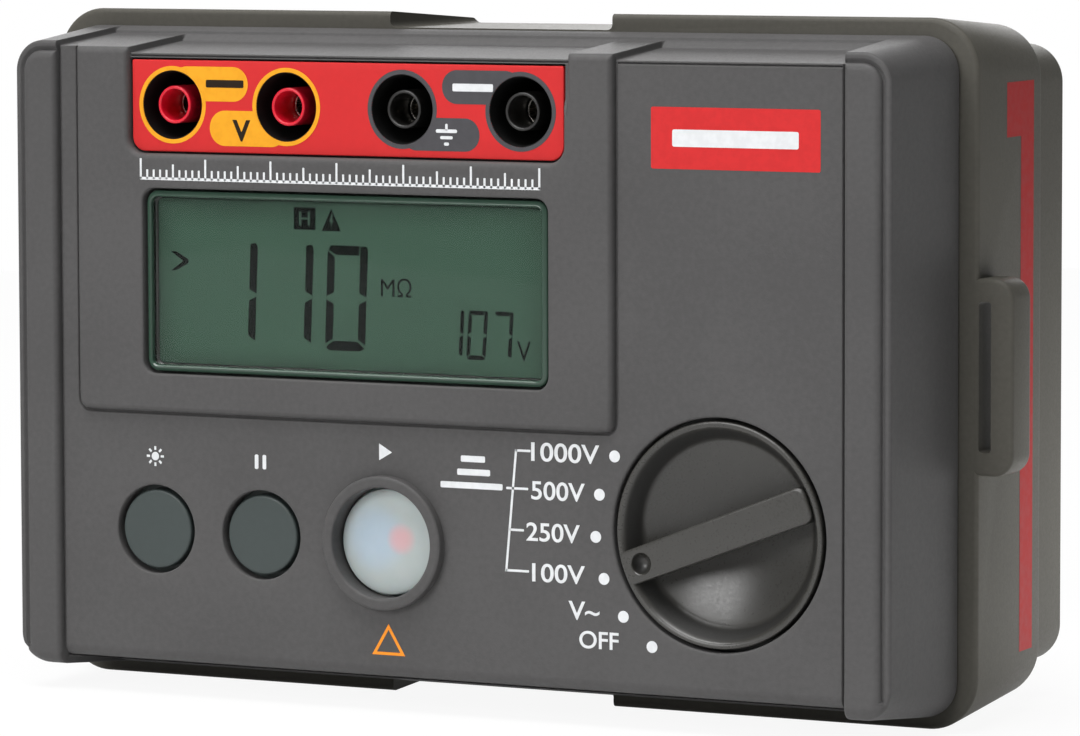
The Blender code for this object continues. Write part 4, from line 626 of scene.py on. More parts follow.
def side_print(y0, y1, z0, z1):
    """Print on the drafted right side, between two depths and two heights."""
    wall = [SHELL_X - SHELL_DRAFT * (y - RIM_DEPTH) / (SHELL_DEPTH - RIM_DEPTH) for y in (y0, y1)]
    corners = [(wall[0] - 0.2, y0), (wall[1] - 0.2, y1), (wall[1] + 0.04, y1), (wall[0] + 0.04, y0)]
    ring = np.array([[x, PANEL + y] for x, y in corners])
    ends = [np.column_stack([ring, np.full(len(ring), z)]) for z in (z0, z1)]
    return [grid(np.stack(ends), wrap=True), *(lid(end) for end in ends)]


# Knob, keys and sockets ---------------------------------------------------------------------

POINTER = radians(200.8)  # where the pointer rests, counter-clockwise from +X
FLANGE = 2.7, 3.7  # depths of the flange that keeps the knob or a key behind the face
KNOB_FLANGE = 17.65
BOWL = 29.5, 13.3, 6.4  # its ball's radius, its own radius and its floor's depth


def knob_shape():
    """A dish whose floor is part of a sphere inside a steep wall and a flat rim, a bar across it whose
    pointer end follows the rim's circle, and a ball-shaped dimple in that end.
    """
    ball, reach, floor = BOWL
    out = np.linspace(0, reach, 12)
    bowl = np.column_stack([out, floor - ball + np.sqrt(ball**2 - out**2)])
    wall = eased([bowl[-2], bowl[-1], (14.95, 0.3), (15.3, 0.0), (15.95, 0.0), (15.95, FLANGE[0])], 0.6, 7)
    rest = [(KNOB_FLANGE, FLANGE[0]), (KNOB_FLANGE, FLANGE[1]), (16.0, FLANGE[1]), (13.4, 8.2), (3.4, 8.2)]
    body = turned([*bowl[:-2], *wall, *rest, (3.4, 9.5), (0, 9.5)], KNOB_X, KNOB_Z, 160)
    centre = np.array([KNOB_X, KNOB_Z])
    along = np.array([cos(POINTER), sin(POINTER)])
    across = np.array([-along[1], along[0]])

    def bar(inset):
        sweep = np.linspace(2.45 - inset, inset - 2.45, 9)
        pointer = np.column_stack([np.sqrt((15.85 - inset) ** 2 - sweep**2), sweep])
        tail, side = inset - 14.6, 2.6 - inset
        heel = eased([(0, inset - 2.5), (tail, -side), (tail, side), (0, 2.5 - inset)], 1.5, 6)
        shape = np.concatenate([pointer, heel])
        return centre + shape[:, :1] * along + shape[:, 1:] * across

    sections = [(bar(inset), depth) for inset, depth in front_round(0.35, -0.03)]
    hollow = [(1.5 * cos(t), 0.2 + 1.4 * sin(t)) for t in np.linspace(0, pi / 2, 9)]
    dimple = turned([(0, -2), (1.62, -2), (1.62, -0.03), (1.5, 0.12), *hollow], *(centre + 12.9 * along), 48)
    return combined(mesh_from("knob", body), [dimple], [loft([*sections, (bar(0), 7.0)])])


def stem(flange, end):
    """The rest of a key's profile: its flange and a stem that ends at a depth."""
    radius = 2.0
    return [(flange, FLANGE[0]), (flange, FLANGE[1]), (radius, FLANGE[1]), (radius, end), (0, end)]


def small_cap(x, z):
    """A flat key cap with an eased rim, its flange and its stem."""
    top = eased([(0, 0.36), (5.0, 0.4), (5.77, 0.42), (5.77, FLANGE[0])], 0.45, 6)
    return turned([*top, *stem(7.07, 7.5)], x, z)


def test_bezel():
    """The raised ring round the test key: eased shoulders, a flat top and a bore."""
    ring = eased([(9.65, 0.02), (9.65, -1.3), (9.35, -1.5), (8.2, -1.5), (7.98, -1.3), (7.98, 2.1)], 0.22, 4)
    return turned([(8.9, 2.1), (8.9, 0.02), *ring, (8.9, 2.1)], TEST_X, TEST_Z, 128)


def test_cap():
    """The barely domed, milky test key with its flange and stem."""
    out = np.linspace(0, 7.3, 14)
    dome = np.column_stack([out, 0.75 + 0.35 * (out / out[-1]) ** 2])
    edge = eased([dome[-1], (7.66, 1.2), (7.66, FLANGE[0])], 0.25, 4)
    return turned([*dome[:-1], *edge, *stem(8.95, 6.3)], TEST_X, TEST_Z)


def with_holes(name, patches, radius):
    """A body with a round hole at each socket."""
    return combined(mesh_from(name, patches), [rod(x, z, radius, -2, 3) for x, z in SOCKETS])


def socket_wells():
    """The four round wells on their common flange, as one moulding."""
    end = depths("socket_block")[1]
    floor, out = end - 2, end + 1
    well = [(0, 0.06), (4.98, 0.06), (4.98, 1.2), (5.82, 1.2), (5.82, end), (0, end)]
    bore = [(0, -1), (4.9, -1), (4.9, 0.1), (4.78, 0.3), (4.78, floor)]
    bore += [(1.2, floor), (1.2, out), (0, out)]
    joins, cuts = ([turned(profile, x, z, 72) for x, z in SOCKETS] for profile in (well, bore))
    flange = slab(*sides("socket_block"), 5.8, FLANGE[0], 4.1, 0.2, 12)
    return combined(mesh_from("wells", flange), cuts, joins)


def socket_sleeve(number):
    """An insulating sleeve with a rounded mouth."""
    front, back = depths(f"socket_sleeve_{number}")
    mouth = eased([(2.75, front + 2.5), (2.75, front), (2.27, front), (2.25, front + 1.8)], 0.22, 5)
    profile = [(2.75, back), *mouth, (2.3, front + 1.8), (2.3, back), (2.75, back)]
    return turned(profile, *SOCKETS[number - 1], 72)


def socket_contact(number):
    """The sprung metal tube in a socket: a lipped mouth and a closed floor."""
    low, high = depths(f"socket_contact_{number}")
    front, back = low + 3.4, depths(f"socket_sleeve_{number}")[1]
    floor = back - 2.7
    tube = eased([(2.15, front + 1.5), (2.15, front), (1.85, front), (1.85, floor)], 0.12, 3)
    profile = [(0, high), (0.9, high), (0.9, back), (2.15, back), *tube, (0, floor)]
    return turned(profile, *SOCKETS[number - 1], 48)


# Finishes -----------------------------------------------------------------------------------


class Value:
    """A socket that takes part in sums: each operator adds its Math node."""

    def __init__(self, nodes, socket):
        self.nodes, self.socket = nodes, socket

    def sum(self, operation, first, second):
        return self.nodes.node("ShaderNodeMath", {"operation": operation}, {0: first, 1: second})

    def __add__(self, other):
        return self.sum("ADD", self, other)

    def __sub__(self, other):
        return self.sum("SUBTRACT", self, other)

    def __rsub__(self, other):
        return self.sum("SUBTRACT", other, self)

    def __mul__(self, other):
        return self.sum("MULTIPLY", self, other)

    __radd__, __rmul__ = __add__, __mul__


class Nodes:
    """The shader tree of a material or a world."""

    def __init__(self, owner):
        owner.use_nodes = True
        self.owner, self.tree = owner, owner.node_tree
        self.tree.nodes.clear()

    def node(self, kind, settings=None, inputs=None, output=0):
        """Adds a node: its settings first, then a value or a link for each socket."""
        made = self.tree.nodes.new(kind)
        for name, value in (settings or {}).items():
            setattr(made, name, value)
        for name, value in (inputs or {}).items():
            if isinstance(value, Value):
                self.tree.links.new(value.socket, made.inputs[name])
            else:
                made.inputs[name].default_value = value
        return Value(self, made.outputs[output])

    def close(self, shader, kind="Material"):
        """Joins a shader to the output, and returns the material or the world."""
        end = self.tree.nodes.new(f"ShaderNodeOutput{kind}")
        self.tree.links.new(shader.socket, end.inputs["Surface"])
        return self.owner


class Look(Nodes):
    """A material whose pattern lies on the piece's own coordinates."""

    def __init__(self, name):
        super().__init__(bpy.data.materials.new(name))
        self.place = self.node("ShaderNodeTexCoord", output="Object")

    def noise(self, scale, detail=2.0, stretch=None):
        """Soft cloudy noise from 0 to 1, with so many clouds to the metre, stretched along each axis."""
        place = self.place
        if stretch:
            place = self.node("ShaderNodeMapping", None, {"Vector": place, "Scale": stretch})
        return self.node("ShaderNodeTexNoise", None, {"Vector": place, "Scale": scale, "Detail": detail})

    def cells(self, scale, spread, settings=None):
        """Distance from the middle of each cell, the cells more or less regular."""
        inputs = {"Vector": self.place, "Scale": scale, "Randomness": spread}
        return self.node("ShaderNodeTexVoronoi", settings, inputs)

    def saw(self, value):
        """What a value leaves above its whole number."""
        return self.node("ShaderNodeMath", {"operation": "FRACT"}, {0: value})

    def axis(self, which):
        """One coordinate of the piece, in metres."""
        return self.node("ShaderNodeSeparateXYZ", None, {0: self.place}, "XYZ"[which])

    def square(self, x, z):
        """The square of the distance from the axis at (x, z), in square metres."""
        across, up = self.axis(0) - x * MM, self.axis(2) - z * MM
        return across * across + up * up

    def between(self, value, low, high, to_low=0.0, to_high=1.0):
        """A value carried from one range to another and held to its ends, smoothly."""
        inputs = {"Value": value, "From Min": low, "From Max": high, "To Min": to_low, "To Max": to_high}
        return self.node("ShaderNodeMapRange", {"interpolation_type": "SMOOTHSTEP"}, inputs)

    def full(self, noise, low=0.0, high=1.0):
        """Noise, which mostly lies from 0.3 to 0.7, carried to a range."""
        return self.between(noise, 0.3, 0.7, low, high)

    def mixed(self, share, first, second):
        """Two colours mixed by a share."""
        settings = {"data_type": "RGBA", "clamp_factor": True}
        return self.node("ShaderNodeMix", settings, {0: share, 6: opaque(first), 7: opaque(second)}, 2)

    def relief(self, height, depth):
        """A Bump node over a height from 0 to 1, its full depth in millimetres."""
        return self.node("ShaderNodeBump", None, {"Height": height, "Distance": depth * MM, "Strength": 1.0})

    def finish(self, **sockets):
        """Adds the shader: each keyword is one of its sockets, with _ for a space. Returns the material."""
        inputs = {name.replace("_", " "): value for name, value in sockets.items()}
        inputs["Base Color"] = opaque(inputs["Base Color"])
        return self.close(self.node("ShaderNodeBsdfPrincipled", None, inputs))


def opaque(colour):
    """A colour with its alpha, if it is a plain one."""
    return colour if isinstance(colour, Value) or len(colour) == 4 else (*colour, 1.0)


def shade(colour, factor):
    """A colour made lighter or darker."""
    return tuple(min(channel * factor, 1.0) for channel in tuple(colour)[:3])


def tint(code):
    """The linear colour of a six-figure screen colour: ((c + 0.055) / 1.055)^2.4 for each channel."""
    channels = [((code >> shift) & 255) / 255 for shift in (16, 8, 0)]
    return tuple(c / 12.92 if c <= 0.04045 else ((c + 0.055) / 1.055) ** 2.4 for c in channels)


def moulded(name, colour, roughness=0.5, grain=3200.0, relief=0.012, mottle=0.08, sheen=0.15, painted_shade=None):
    """Moulded plastic: an eroded grain in its height and gloss, and slow changes of tone. The share
    that its last argument gives, if any, is painted shade: it darkens the colour there, and also dulls it.
    """
    look = Look(name)
    fine = look.noise(grain, 2.5)
    broad = look.noise(38.0, 3.0)
    speck = look.noise(grain * 0.4, 1.0)
    tone = look.full(broad * 0.6 + speck * 0.4)
    base = look.mixed(tone, shade(colour, 1 - mottle), shade(colour, 1 + mottle))
    rough = look.between(fine + broad * 0.5, 0.4, 1.1, roughness - 0.06, roughness + 0.06)
    normal = look.relief(fine, relief)
    # painted shade: where the share is full, the colour is darkened to stand in for the shade in a recess
    if painted_shade:
        base = look.mixed(painted_shade(look), base, shade(colour, 0.3))
        rough = rough + painted_shade(look) * 0.25
    return look.finish(Base_Color=base, Roughness=rough, Normal=normal, Specular_IOR_Level=sheen)


def dish_wall_shade(look):
    """The share of painted shade on the knob's steep wall: full beyond the bowl and below the rim."""
    beyond = look.between(look.square(KNOB_X, KNOB_Z), (12.8 * MM) ** 2, (13.9 * MM) ** 2)
    return beyond * look.between(look.axis(1), (PANEL + 0.15) * MM, (PANEL + 1.0) * MM)


def filmed(name, colour, clouds, rough, relief, uneven=True, **more):
    """A smooth surface whose gloss, height and, if uneven, tone change slowly."""
    look = Look(name)
    film = look.noise(clouds)
    if uneven:
        colour = look.mixed(look.full(film), shade(colour, 0.95), shade(colour, 1.03))
    gloss, normal = look.full(film, *rough), look.relief(film, relief)
    return look.finish(Base_Color=colour, Roughness=gloss, Normal=normal, **more)


def printed(name, colour, roughness=0.45, sheen=0.15):
    """Printing ink: a thin even film."""
    rough = roughness - 0.05, roughness + 0.05
    return filmed(name, colour, 900.0, rough, 0.004, Specular_IOR_Level=sheen)


def clear(name, colour, roughness=0.03, ior=1.45):
    """Clear moulded plastic with a barely uneven surface."""
    rough = roughness, roughness + 0.04
    return filmed(name, colour, 120.0, rough, 0.002, False, IOR=ior, Transmission_Weight=1.0)


def milky(name, colour):
    """Milky plastic that lets some light through, cloudy inside."""
    inner = {"Subsurface_Weight": 0.25, "Subsurface_Scale": 0.002, "Specular_IOR_Level": 0.4}
    return filmed(name, colour, 240.0, (0.3, 0.4), 0.004, **inner)


def metal(name, colour, roughness=0.25, stretch=(1, 1, 1)):
    """Plated or drawn metal: fine draw lines along the piece and a faint tarnish."""
    look = Look(name)
    drawn = look.noise(2200.0, 3.0, stretch)
    stain = look.noise(150.0, 3.0)
    base = look.mixed(look.between(stain, 0.35, 0.7), shade(colour, 0.86), colour)
    rough = look.between(drawn + stain * 0.4, 0.3, 1.1, roughness - 0.08, roughness + 0.12)
    return look.finish(Base_Color=base, Metallic=1.0, Roughness=rough, Normal=look.relief(drawn, 0.005))


def board(name, colour):
    """Circuit board: solder mask over copper tracks, with tinned pads."""
    look = Look(name)
    blocks = look.cells(260.0, 0.55, {"feature": "F1", "distance": "CHEBYCHEV"})
    tracks = look.between(look.saw(blocks * 4.0), 0.35, 0.5)
    pad = look.between(look.cells(420.0, 0.35), 0.2, 0.17)
    base = look.mixed(tracks, shade(colour, 0.75), shade(colour, 1.35))
    base = look.mixed(pad, base, (0.55, 0.53, 0.48))
    rough = look.between(pad + look.noise(700.0), 0.3, 1.4, 0.42, 0.26)
    normal = look.relief(tracks + pad, 0.03)
    return look.finish(Base_Color=base, Roughness=rough, Normal=normal, Specular_IOR_Level=0.5)


def wrapped(name, colour):
    """A cell's printed sleeve: two smooth bands of colour and a seam of gloss."""
    look = Look(name)
    band = look.between(look.saw(look.axis(0) * 19.8 + 0.5), 0.66, 0.68)
    film = look.noise(420.0, 2.0)
    base = look.mixed(band, colour, (0.5, 0.36, 0.14))
    base = look.mixed(film * 0.12, base, (0.3, 0.3, 0.3))
    return look.finish(Base_Color=base, Roughness=look.full(film, 0.22, 0.34), Normal=look.relief(film, 0.01))


def screen_look(colour):
    """The display's polariser: an even green with painted shade, darker near the edges of its well and a
    little darker towards its right, with a fine grain.
    """
    look = Look("display_green")
    x, z = look.axis(0), look.axis(2)
    # painted shade of the well: darker near each edge, and darker towards the right side
    left, right, low, high = (side * MM for side in WINDOW)
    edges = (x - left, 0.001, 0.006), (right - x, 0.001, 0.007)
    edges += (z - low, 0.0005, 0.004), (high - z, 0.0005, 0.006)
    near = [look.between(*edge) for edge in edges]
    lit = near[0] * near[1] * near[2] * near[3]
    cloud = look.noise(60.0, 2.0)
    base = look.mixed(lit * (0.85 + cloud * 0.15), shade(colour, 0.68), colour)
    base = look.mixed(look.between(x, left, right) * 0.5, base, shade(colour, 0.93))
    rough = look.full(look.noise(5200.0, 1.0), 0.5, 0.6)
    return look.finish(Base_Color=base, Roughness=rough, Specular_IOR_Level=0.1)


def lamp_cap_look(colour):
    """The test key's milky cap: cool white, with a painted glow, a faint warm pink where a lamp behind its
    right half would shine through.
    """
    look = Look("lamp_cap")
    spot = look.between(look.square(TEST_X + 2.2, TEST_Z + 0.5), 0.0, 0.0026**2, 1.0, 0.0)
    cool = look.between(look.square(TEST_X - 2.0, TEST_Z + 0.5), 0.0, 0.0058**2, 1.0, 0.0)
    cloud = look.noise(500.0, 2.0)
    base = look.mixed(cool * 0.8, colour, tint(0xA4B6C6))
    # painted glow: a pink spot stands in for the warm light of the lamp behind the cap
    base = look.mixed(spot * 0.75, base, tint(0xD29C9F))
    base = look.mixed(cloud * 0.05, base, (1, 1, 1))
    return look.finish(
        Base_Color=base, Roughness=look.full(cloud, 0.3, 0.38), Normal=look.relief(cloud, 0.003),
        Subsurface_Weight=0.1, Subsurface_Scale=0.001, Specular_IOR_Level=0.3,
    )


# Print --------------------------------------------------------------------------------------

SCREEN_FACE, SCREEN = 1.1, 1.09  # depth of the display's surface and of its print
FIGURE_FOOT, FIGURE_WIDTH = 51.5, 6.6
SMALL_FOOT, SMALL_WIDTH, SMALL_TALL = 51.0, 3.1, 7.0
FIRST_DOT, DOT_STEP, DOTS = 147.4, 18, 6  # degrees, counter-clockwise from +X
SIGN_Z = 35.0  # height of the light key's sign
SCALE_LEFT, SCALE_FOOT, SCALE_PITCH, SCALE_MARKS = -48.85, 75.4, 1.0917, 61
FILM, SUNK = 0.03, 0.1  # how far print stands off its surface, and how far it reaches below it


def inked(outline, depth=0.0):
    """An outline as a thin printed body on the surface at a depth."""
    return prism(outline, depth - FILM, depth + SUNK)


def strip(x0, x1, z0, z1, depth=0.0, radius=0.2):
    """A printed bar, its corners no rounder than its width allows."""
    return inked(rounded(x0, x1, z0, z1, min(radius, (x1 - x0) / 2.01, (z1 - z0) / 2.01), 4), depth)


def strips(bars, depth=0.0, radius=0.2):
    """Printed bars as one shape."""
    return [patch for bar in bars for patch in strip(*bar, depth, radius)]


def lettering(text, x0, x1, z0, z1, depth, bold=0.0):
    """Text as a thin raised body, fitted to a box: each coordinate is scaled and moved into it."""
    curve = bpy.data.curves.new("text", "FONT")
    curve.body, curve.size, curve.extrude, curve.offset = text, 1.0, 0.5, bold
    writer = bpy.data.objects.new("text", curve)
    bpy.context.scene.collection.objects.link(writer)
    mesh = bpy.data.meshes.new_from_object(writer.evaluated_get(bpy.context.evaluated_depsgraph_get()))
    bpy.data.objects.remove(writer)
    flat = np.empty(len(mesh.vertices) * 3)
    mesh.vertices.foreach_get("co", flat)
    flat = flat.reshape(-1, 3)
    low, high = flat.min(0), flat.max(0)
    share = (flat - low) / (high - low)
    spots = np.column_stack([
        x0 + (x1 - x0) * share[:, 0],
        PANEL + depth + SUNK - (FILM + SUNK) * share[:, 2],
        z0 + (z1 - z0) * share[:, 1],
    ])
    faces = [list(polygon.vertices) for polygon in mesh.polygons]
    bpy.data.meshes.remove(mesh)
    return spots, faces


def ring_print(x, z, inner, outer, depth):
    """A flat printed ring."""
    front, back = depth - FILM, depth + SUNK
    return turned([(inner, front), (outer, front), (outer, back), (inner, back), (inner, front)], x, z, 72)


def segment(points, x0, z0, width, height, lean, depth):
    """One display segment: a polygon in unit coordinates, placed, scaled and leaned."""
    shape = np.array(points, float)
    x = x0 + shape[:, 0] * width + shape[:, 1] * lean
    return prism(np.column_stack([x, z0 + shape[:, 1] * height]), depth - 0.04, depth + 0.02)


def digit(which, x0, z0, width, height, depth, bar=0.2, lean=0.6):
    """A seven-segment figure as leaning bars with mitred ends."""
    b, c, g = bar, bar * width / height * 1.05, 0.014  # width of an upright and of a level bar, and the gap
    r = 1 - b + g
    shapes = {
        "top": [(b * 0.45, 1), (1 - b - g, 1), (1 - b - g, 1 - c), (b, 1 - c), (b * 0.1, 1 - c * 0.4)],
        "low": [(b, c), (1 - b, c), (1 - g, c * 0.3), (1 - b * 0.6, 0), (b * 0.6, 0), (g, c * 0.3)],
        "left_up": [(0, 1 - c * 0.5), (b - g, 1 - c - g * 2), (b - g, 0.5 + c * 0.6), (0, 0.5 + g)],
        "left_low": [(0, 0.5 - g), (b - g, 0.5 - c * 0.6), (b - g, c + g * 1.5), (0, c * 0.5 + g)],
        "right_up": [(r, 1 - g), (1 - b * 0.3, 1), (1, 1 - c * 0.4), (1, 0.5 + g), (r, 0.5 + c * 0.6)],
        "right_low": [(r, 0.5 - c * 0.6), (1, 0.5 - g), (1, c * 0.5 + g), (r, c + g * 1.5)],
    }
    right = "right_up right_low"
    lit = {"0": f"top low left_up left_low {right}", "1": right, "7": f"top {right}"}
    patches = []
    for name in lit[which].split():
        patches += segment(shapes[name][::-1], x0, z0, width, height, lean, depth)
    return patches


# Settings -----------------------------------------------------------------------------------


def colour_setting(name, description, code):
    """A colour property whose default is a six-figure screen colour."""
    return bpy.props.FloatVectorProperty(
        name=name, description=description, subtype="COLOR", size=3, min=0, max=1, default=tint(code)
    )


def length_setting(name, description, millimetres):
    """A length property whose default is given in millimetres."""
    return bpy.props.FloatProperty(
        name=name, description=description, subtype="DISTANCE", unit="LENGTH", min=0, default=millimetres * MM
    )


class TesterColours(bpy.types.PropertyGroup):
    """Colours of the tester's mouldings, print and display."""

    face: colour_setting("Face", "Front case", 0x515050)
    shell: colour_setting("Shell", "Rear case, battery cover and strap lugs", 0x504E48)
    knob: colour_setting("Knob", "Selector knob", 0x363532)
    sheet: colour_setting("Input sheet", "Red sheet round the sockets", 0xC92D2E)
    yellow: colour_setting("Yellow marks", "Rings and labels of the measuring sockets", 0xE8A024)
    grey: colour_setting("Grey marks", "Rings and labels of the earth sockets", 0x4B4A4D)
    red_sleeve: colour_setting("Red sleeves", "Sleeves in the measuring sockets", 0xD4122C)
    cap: colour_setting("Key caps", "Light and hold keys", 0x394140)
    milk: colour_setting("Test cap", "Milky cap of the test key", 0xAAB3B2)
    screen: colour_setting("Screen", "Display background", 0x374F42)
    print: colour_setting("Print", "Pale print on the face", 0xDCDEE0)
    orange: colour_setting("Orange print", "Warning triangle and voltage bracket", 0xF2932C)


class TesterSizes(bpy.types.PropertyGroup):
    """Sizes of print and fine detail, in scene units."""

    dot: length_setting("Dial dot", "Diameter of the dots round the knob", 1.68)
    dot_circle: length_setting("Dot circle", "Radius of the circle of dots", 19.2)
    line: length_setting("Line", "Width of printed lines", 0.34)
    figure: length_setting("Figure height", "Height of the large display figures", 15.1)


def mm(value):
    """A length setting in millimetres."""
    return value / MM


# Operators ----------------------------------------------------------------------------------


class TESTER_OT_front_shell(bpy.types.Operator):
    """Add the front case with its raised columns, bib and openings"""

    bl_idname = "tester.front_shell"
    bl_label = "Front Case"

    def execute(self, context):
        look = moulded("face_plastic", context.scene.tester_colours.face, roughness=0.5, relief=0.02)
        shape = combined(mesh_from("front_shell", face_blank()), front_openings())
        piece("front_shell", shape, look, "case_grey", ("front_case",))
        return {"FINISHED"}


class TESTER_OT_rear_shell(bpy.types.Operator):
    """Add the rear case with its lugs, the battery cover and the side stripe"""

    bl_idname = "tester.rear_shell"
    bl_label = "Rear Case"

    def execute(self, context):
        colours = context.scene.tester_colours
        look = moulded("shell_plastic", colours.shell, roughness=0.46, relief=0.014)
        piece("rear_shell", rear_shape(), look, "shell_grey", ("rear_case",))
        piece("battery_lid", battery_lid(), look, "shell_grey", ("battery_cover",))
        ink = printed("stripe_print", shade(colours.sheet, 0.55))
        piece("side_stripe", side_print(35.7, 40.9, 9.3, 90.3), ink)
        piece("side_block", side_print(29.9, 35.7, 82.6, 90.3), ink)
        return {"FINISHED"}


class TESTER_OT_sockets(bpy.types.Operator):
    """Add the red sheet, the rings and labels printed on it, and the four sockets"""

    bl_idname = "tester.sockets"
    bl_label = "Sockets"

    def execute(self, context):
        colours = context.scene.tester_colours
        look = moulded("sheet_plastic", colours.sheet, 0.42, 2400, 0.006, 0.03)
        sheet = with_holes("sheet", slab(*SHEET, 2.1, 0.0, 0.9, 0.2, 12, upper=0.25), 5.0)
        piece("red_sheet", sheet, look, "input_red", ("input_panel",))
        yellow = printed("yellow_print", colours.yellow, 0.42)
        grey = printed("grey_print", colours.grey, 0.45)
        for number, (spot, ink) in enumerate(zip(SOCKETS, (yellow, yellow, grey, grey)), 1):
            piece(f"socket_ring_{number}", ring_print(*spot, 5.0, 5.62, -0.01), ink)
        jacks = [x for x, _ in SOCKETS]
        pills = (
            ("pill_line", jacks[0], -31.3, 86.9, 91.9, yellow),
            ("pill_volt", -37.7, jacks[1], 80.5, 85.6, yellow),
            ("pill_ground", jacks[2], 6.6, 80.5, 85.2, grey),
            ("pill_earth", 0.6, jacks[3], 87.2, 92.0, grey),
        )
        for name, x0, x1, z0, z1, ink in pills:
            pill = inked(rounded(x0, x1, z0, z1, (z1 - z0) / 2.02, 12))
            piece(name, with_holes(name, pill, 5.05), ink)
        black = moulded("well_black", tint(0x121212), 0.4, 2600, 0.006)
        piece("socket_wells", socket_wells(), black, "part_black", ("socket_block",))
        gloss = 0.34, 2400, 0.004, 0.04, 0.5
        red = moulded("red_sleeve", colours.red_sleeve, *gloss)
        dark = moulded("black_sleeve", tint(0x1A1918), *gloss)
        nickel = metal("contact_nickel", (0.62, 0.58, 0.52), 0.24, (1, 0.1, 1))
        for number in range(1, 5):
            shown = (red, "socket_red") if number < 3 else (dark, "socket_black")
            piece(f"sleeve_{number}", socket_sleeve(number), *shown, (f"socket_sleeve_{number}",))
            contact = socket_contact(number)
            piece(f"contact_{number}", contact, nickel, "nickel", (f"socket_contact_{number}",))
        earth = (2.3, 8.8, 89.0, 90.1), (-0.4, 3.0, 83.1, 83.6), (0.3, 2.3, 82.2, 82.65)
        earth += (0.9, 1.7, 81.3, 81.75), (1.1, 1.5, 83.4, 84.4)
        piece("socket_marks", strips(earth, -FILM), printed("pale_print", colours.print))
        volt = [lettering("V", -33.9, -30.9, 81.2, 84.3, -FILM, 0.03)]
        volt += strip(-38.3, -32.0, 88.9, 90.0, -FILM)
        piece("socket_volt_marks", volt, printed("dark_print", tint(0x241A10)))
        return {"FINISHED"}


class TESTER_OT_display(bpy.types.Operator):
    """Add the window, its rim, the screen and its figures"""

    bl_idname = "tester.display"
    bl_label = "Display"

    def execute(self, context):
        colours = context.scene.tester_colours
        front, back = depths("display_window")
        rim = [(-0.95, back), (-0.95, front + 0.55), (-0.9, front + 0.1), (-0.72, front - 0.08)]
        rim += [(-0.45, front + 0.02), (-0.12, front + 0.3), (0, front + 0.7), (0, back), (-0.95, back)]
        rim = [(rounded(*grown(WINDOW, grow), max(1.9 + grow, 0.3), 12), depth) for grow, depth in rim]
        look = moulded("rim_green", shade(colours.screen, 0.9), 0.2, 2000, 0.002, 0.02, 0.6)
        piece("window_rim", loft(rim, ends=False), look)
        lens = slab(*grown(WINDOW, -1.0), 0.95, front + 0.5, back, 0.1, 12)
        look = clear("window_clear", (0.97, 1.0, 0.98), 0.02, 1.2)
        piece("window_lens", lens, look, "window_clear", ("display_window",))
        inner = grown(WINDOW, -1.3)[:2] + grown(WINDOW, -1.2)[2:]
        screen = slab(*inner, 0.8, SCREEN_FACE, depths("display_glass")[0] + 0.02, 0.1, 8)
        glass = slab(*sides("display_glass"), 0.6, *depths("display_glass"), 0.1, 6)
        shape = combined(mesh_from("screen", glass), (), [screen])
        piece("screen", shape, screen_look(colours.screen), "glass_green", ("display_glass",))
        ink = printed("segment_black", tint(0x040806), 0.6, 0.02)
        tall = mm(context.scene.tester_sizes.figure)
        figures = []
        for figure, x in (("1", -37.5), ("1", -28.2), ("0", -19.25)):
            figures += digit(figure, x, FIGURE_FOOT, FIGURE_WIDTH, tall, SCREEN)
        for figure, x in (("1", 0.05), ("0", 3.85), ("7", 7.95)):
            figures += digit(figure, x, SMALL_FOOT, SMALL_WIDTH, SMALL_TALL, SCREEN, 0.2, 0.45)
        piece("screen_figures", figures, ink)
        units = ("MΩ", -10, -5, 59.5, 62.2), ("V", 12, 14.2, 51.0, 53.9)
        piece("screen_letters", [lettering(*unit, SCREEN) for unit in units], ink, sharp=20)
        arrow = (-45, 65), (-44.1, 65), (-42, 63.9), (-42, 63.3), (-44.1, 62.2), (-45, 62.2), (-42.9, 63.6)
        signs = prism(arrow, SCREEN - 0.04, SCREEN + 0.02) + strip(-24.3, -20.7, 68.7, 71.9, SCREEN, 0.1)
        signs += inked([(-19.7, 68.6), (-16.5, 68.6), (-18.1, 71.8)], SCREEN)
        piece("screen_signs", signs, ink)
        letter = (-23.4, -23.05, 69.3, 71.3), (-21.95, -21.6, 69.3, 71.3), (-23.2, -21.8, 70.15, 70.45)
        bolt = (-18.0, 71.0), (-17.8, 71.0), (-18.0, 70.2), (-17.7, 70.2)
        bolt += (-18.2, 69.1), (-18.1, 69.9), (-18.4, 69.9)
        gaps = strips(letter, SCREEN - FILM, 0.1) + prism(bolt, SCREEN - 2 * FILM, SCREEN)
        piece("screen_gaps", gaps, printed("segment_gap", shade(colours.screen, 0.8), 0.5))
        return {"FINISHED"}


class TESTER_OT_keys(bpy.types.Operator):
    """Add the light and hold keys and the test key with its ring"""

    bl_idname = "tester.keys"
    bl_label = "Keys"

    def execute(self, context):
        colours = context.scene.tester_colours
        cap_look = moulded("cap_plastic", colours.cap, 0.42, 2600, 0.006, 0.04, 0.4)
        for name, spot in KEYS.items():
            stands_for, body = (f"{name}_button",), f"{name}_key"
            piece(f"{name}_cap", small_cap(*spot), cap_look, "cap_slate", stands_for, body=body)
        ring_look = moulded("ring_plastic", colours.face, 0.45, 2600, 0.01)
        piece("test_ring", test_bezel(), ring_look, "case_grey", ("test_bezel",))
        look = lamp_cap_look(colours.milk)
        piece("test_cap", test_cap(), look, "cap_milk", ("test_button",), body="test_key")
        return {"FINISHED"}


class TESTER_OT_knob(bpy.types.Operator):
    """Add the dished selector knob with its bar and pointer dimple"""

    bl_idname = "tester.knob"
    bl_label = "Knob"

    def execute(self, context):
        colour = context.scene.tester_colours.knob
        # the knob gets painted shade on the steep wall of its dish
        look = moulded("knob_plastic", colour, 0.3, 2600, 0.004, 0.03, 0.6, dish_wall_shade)
        piece("selector_dish", knob_shape(), look, "knob_grey", ("selector_knob",), body="knob")
        return {"FINISHED"}


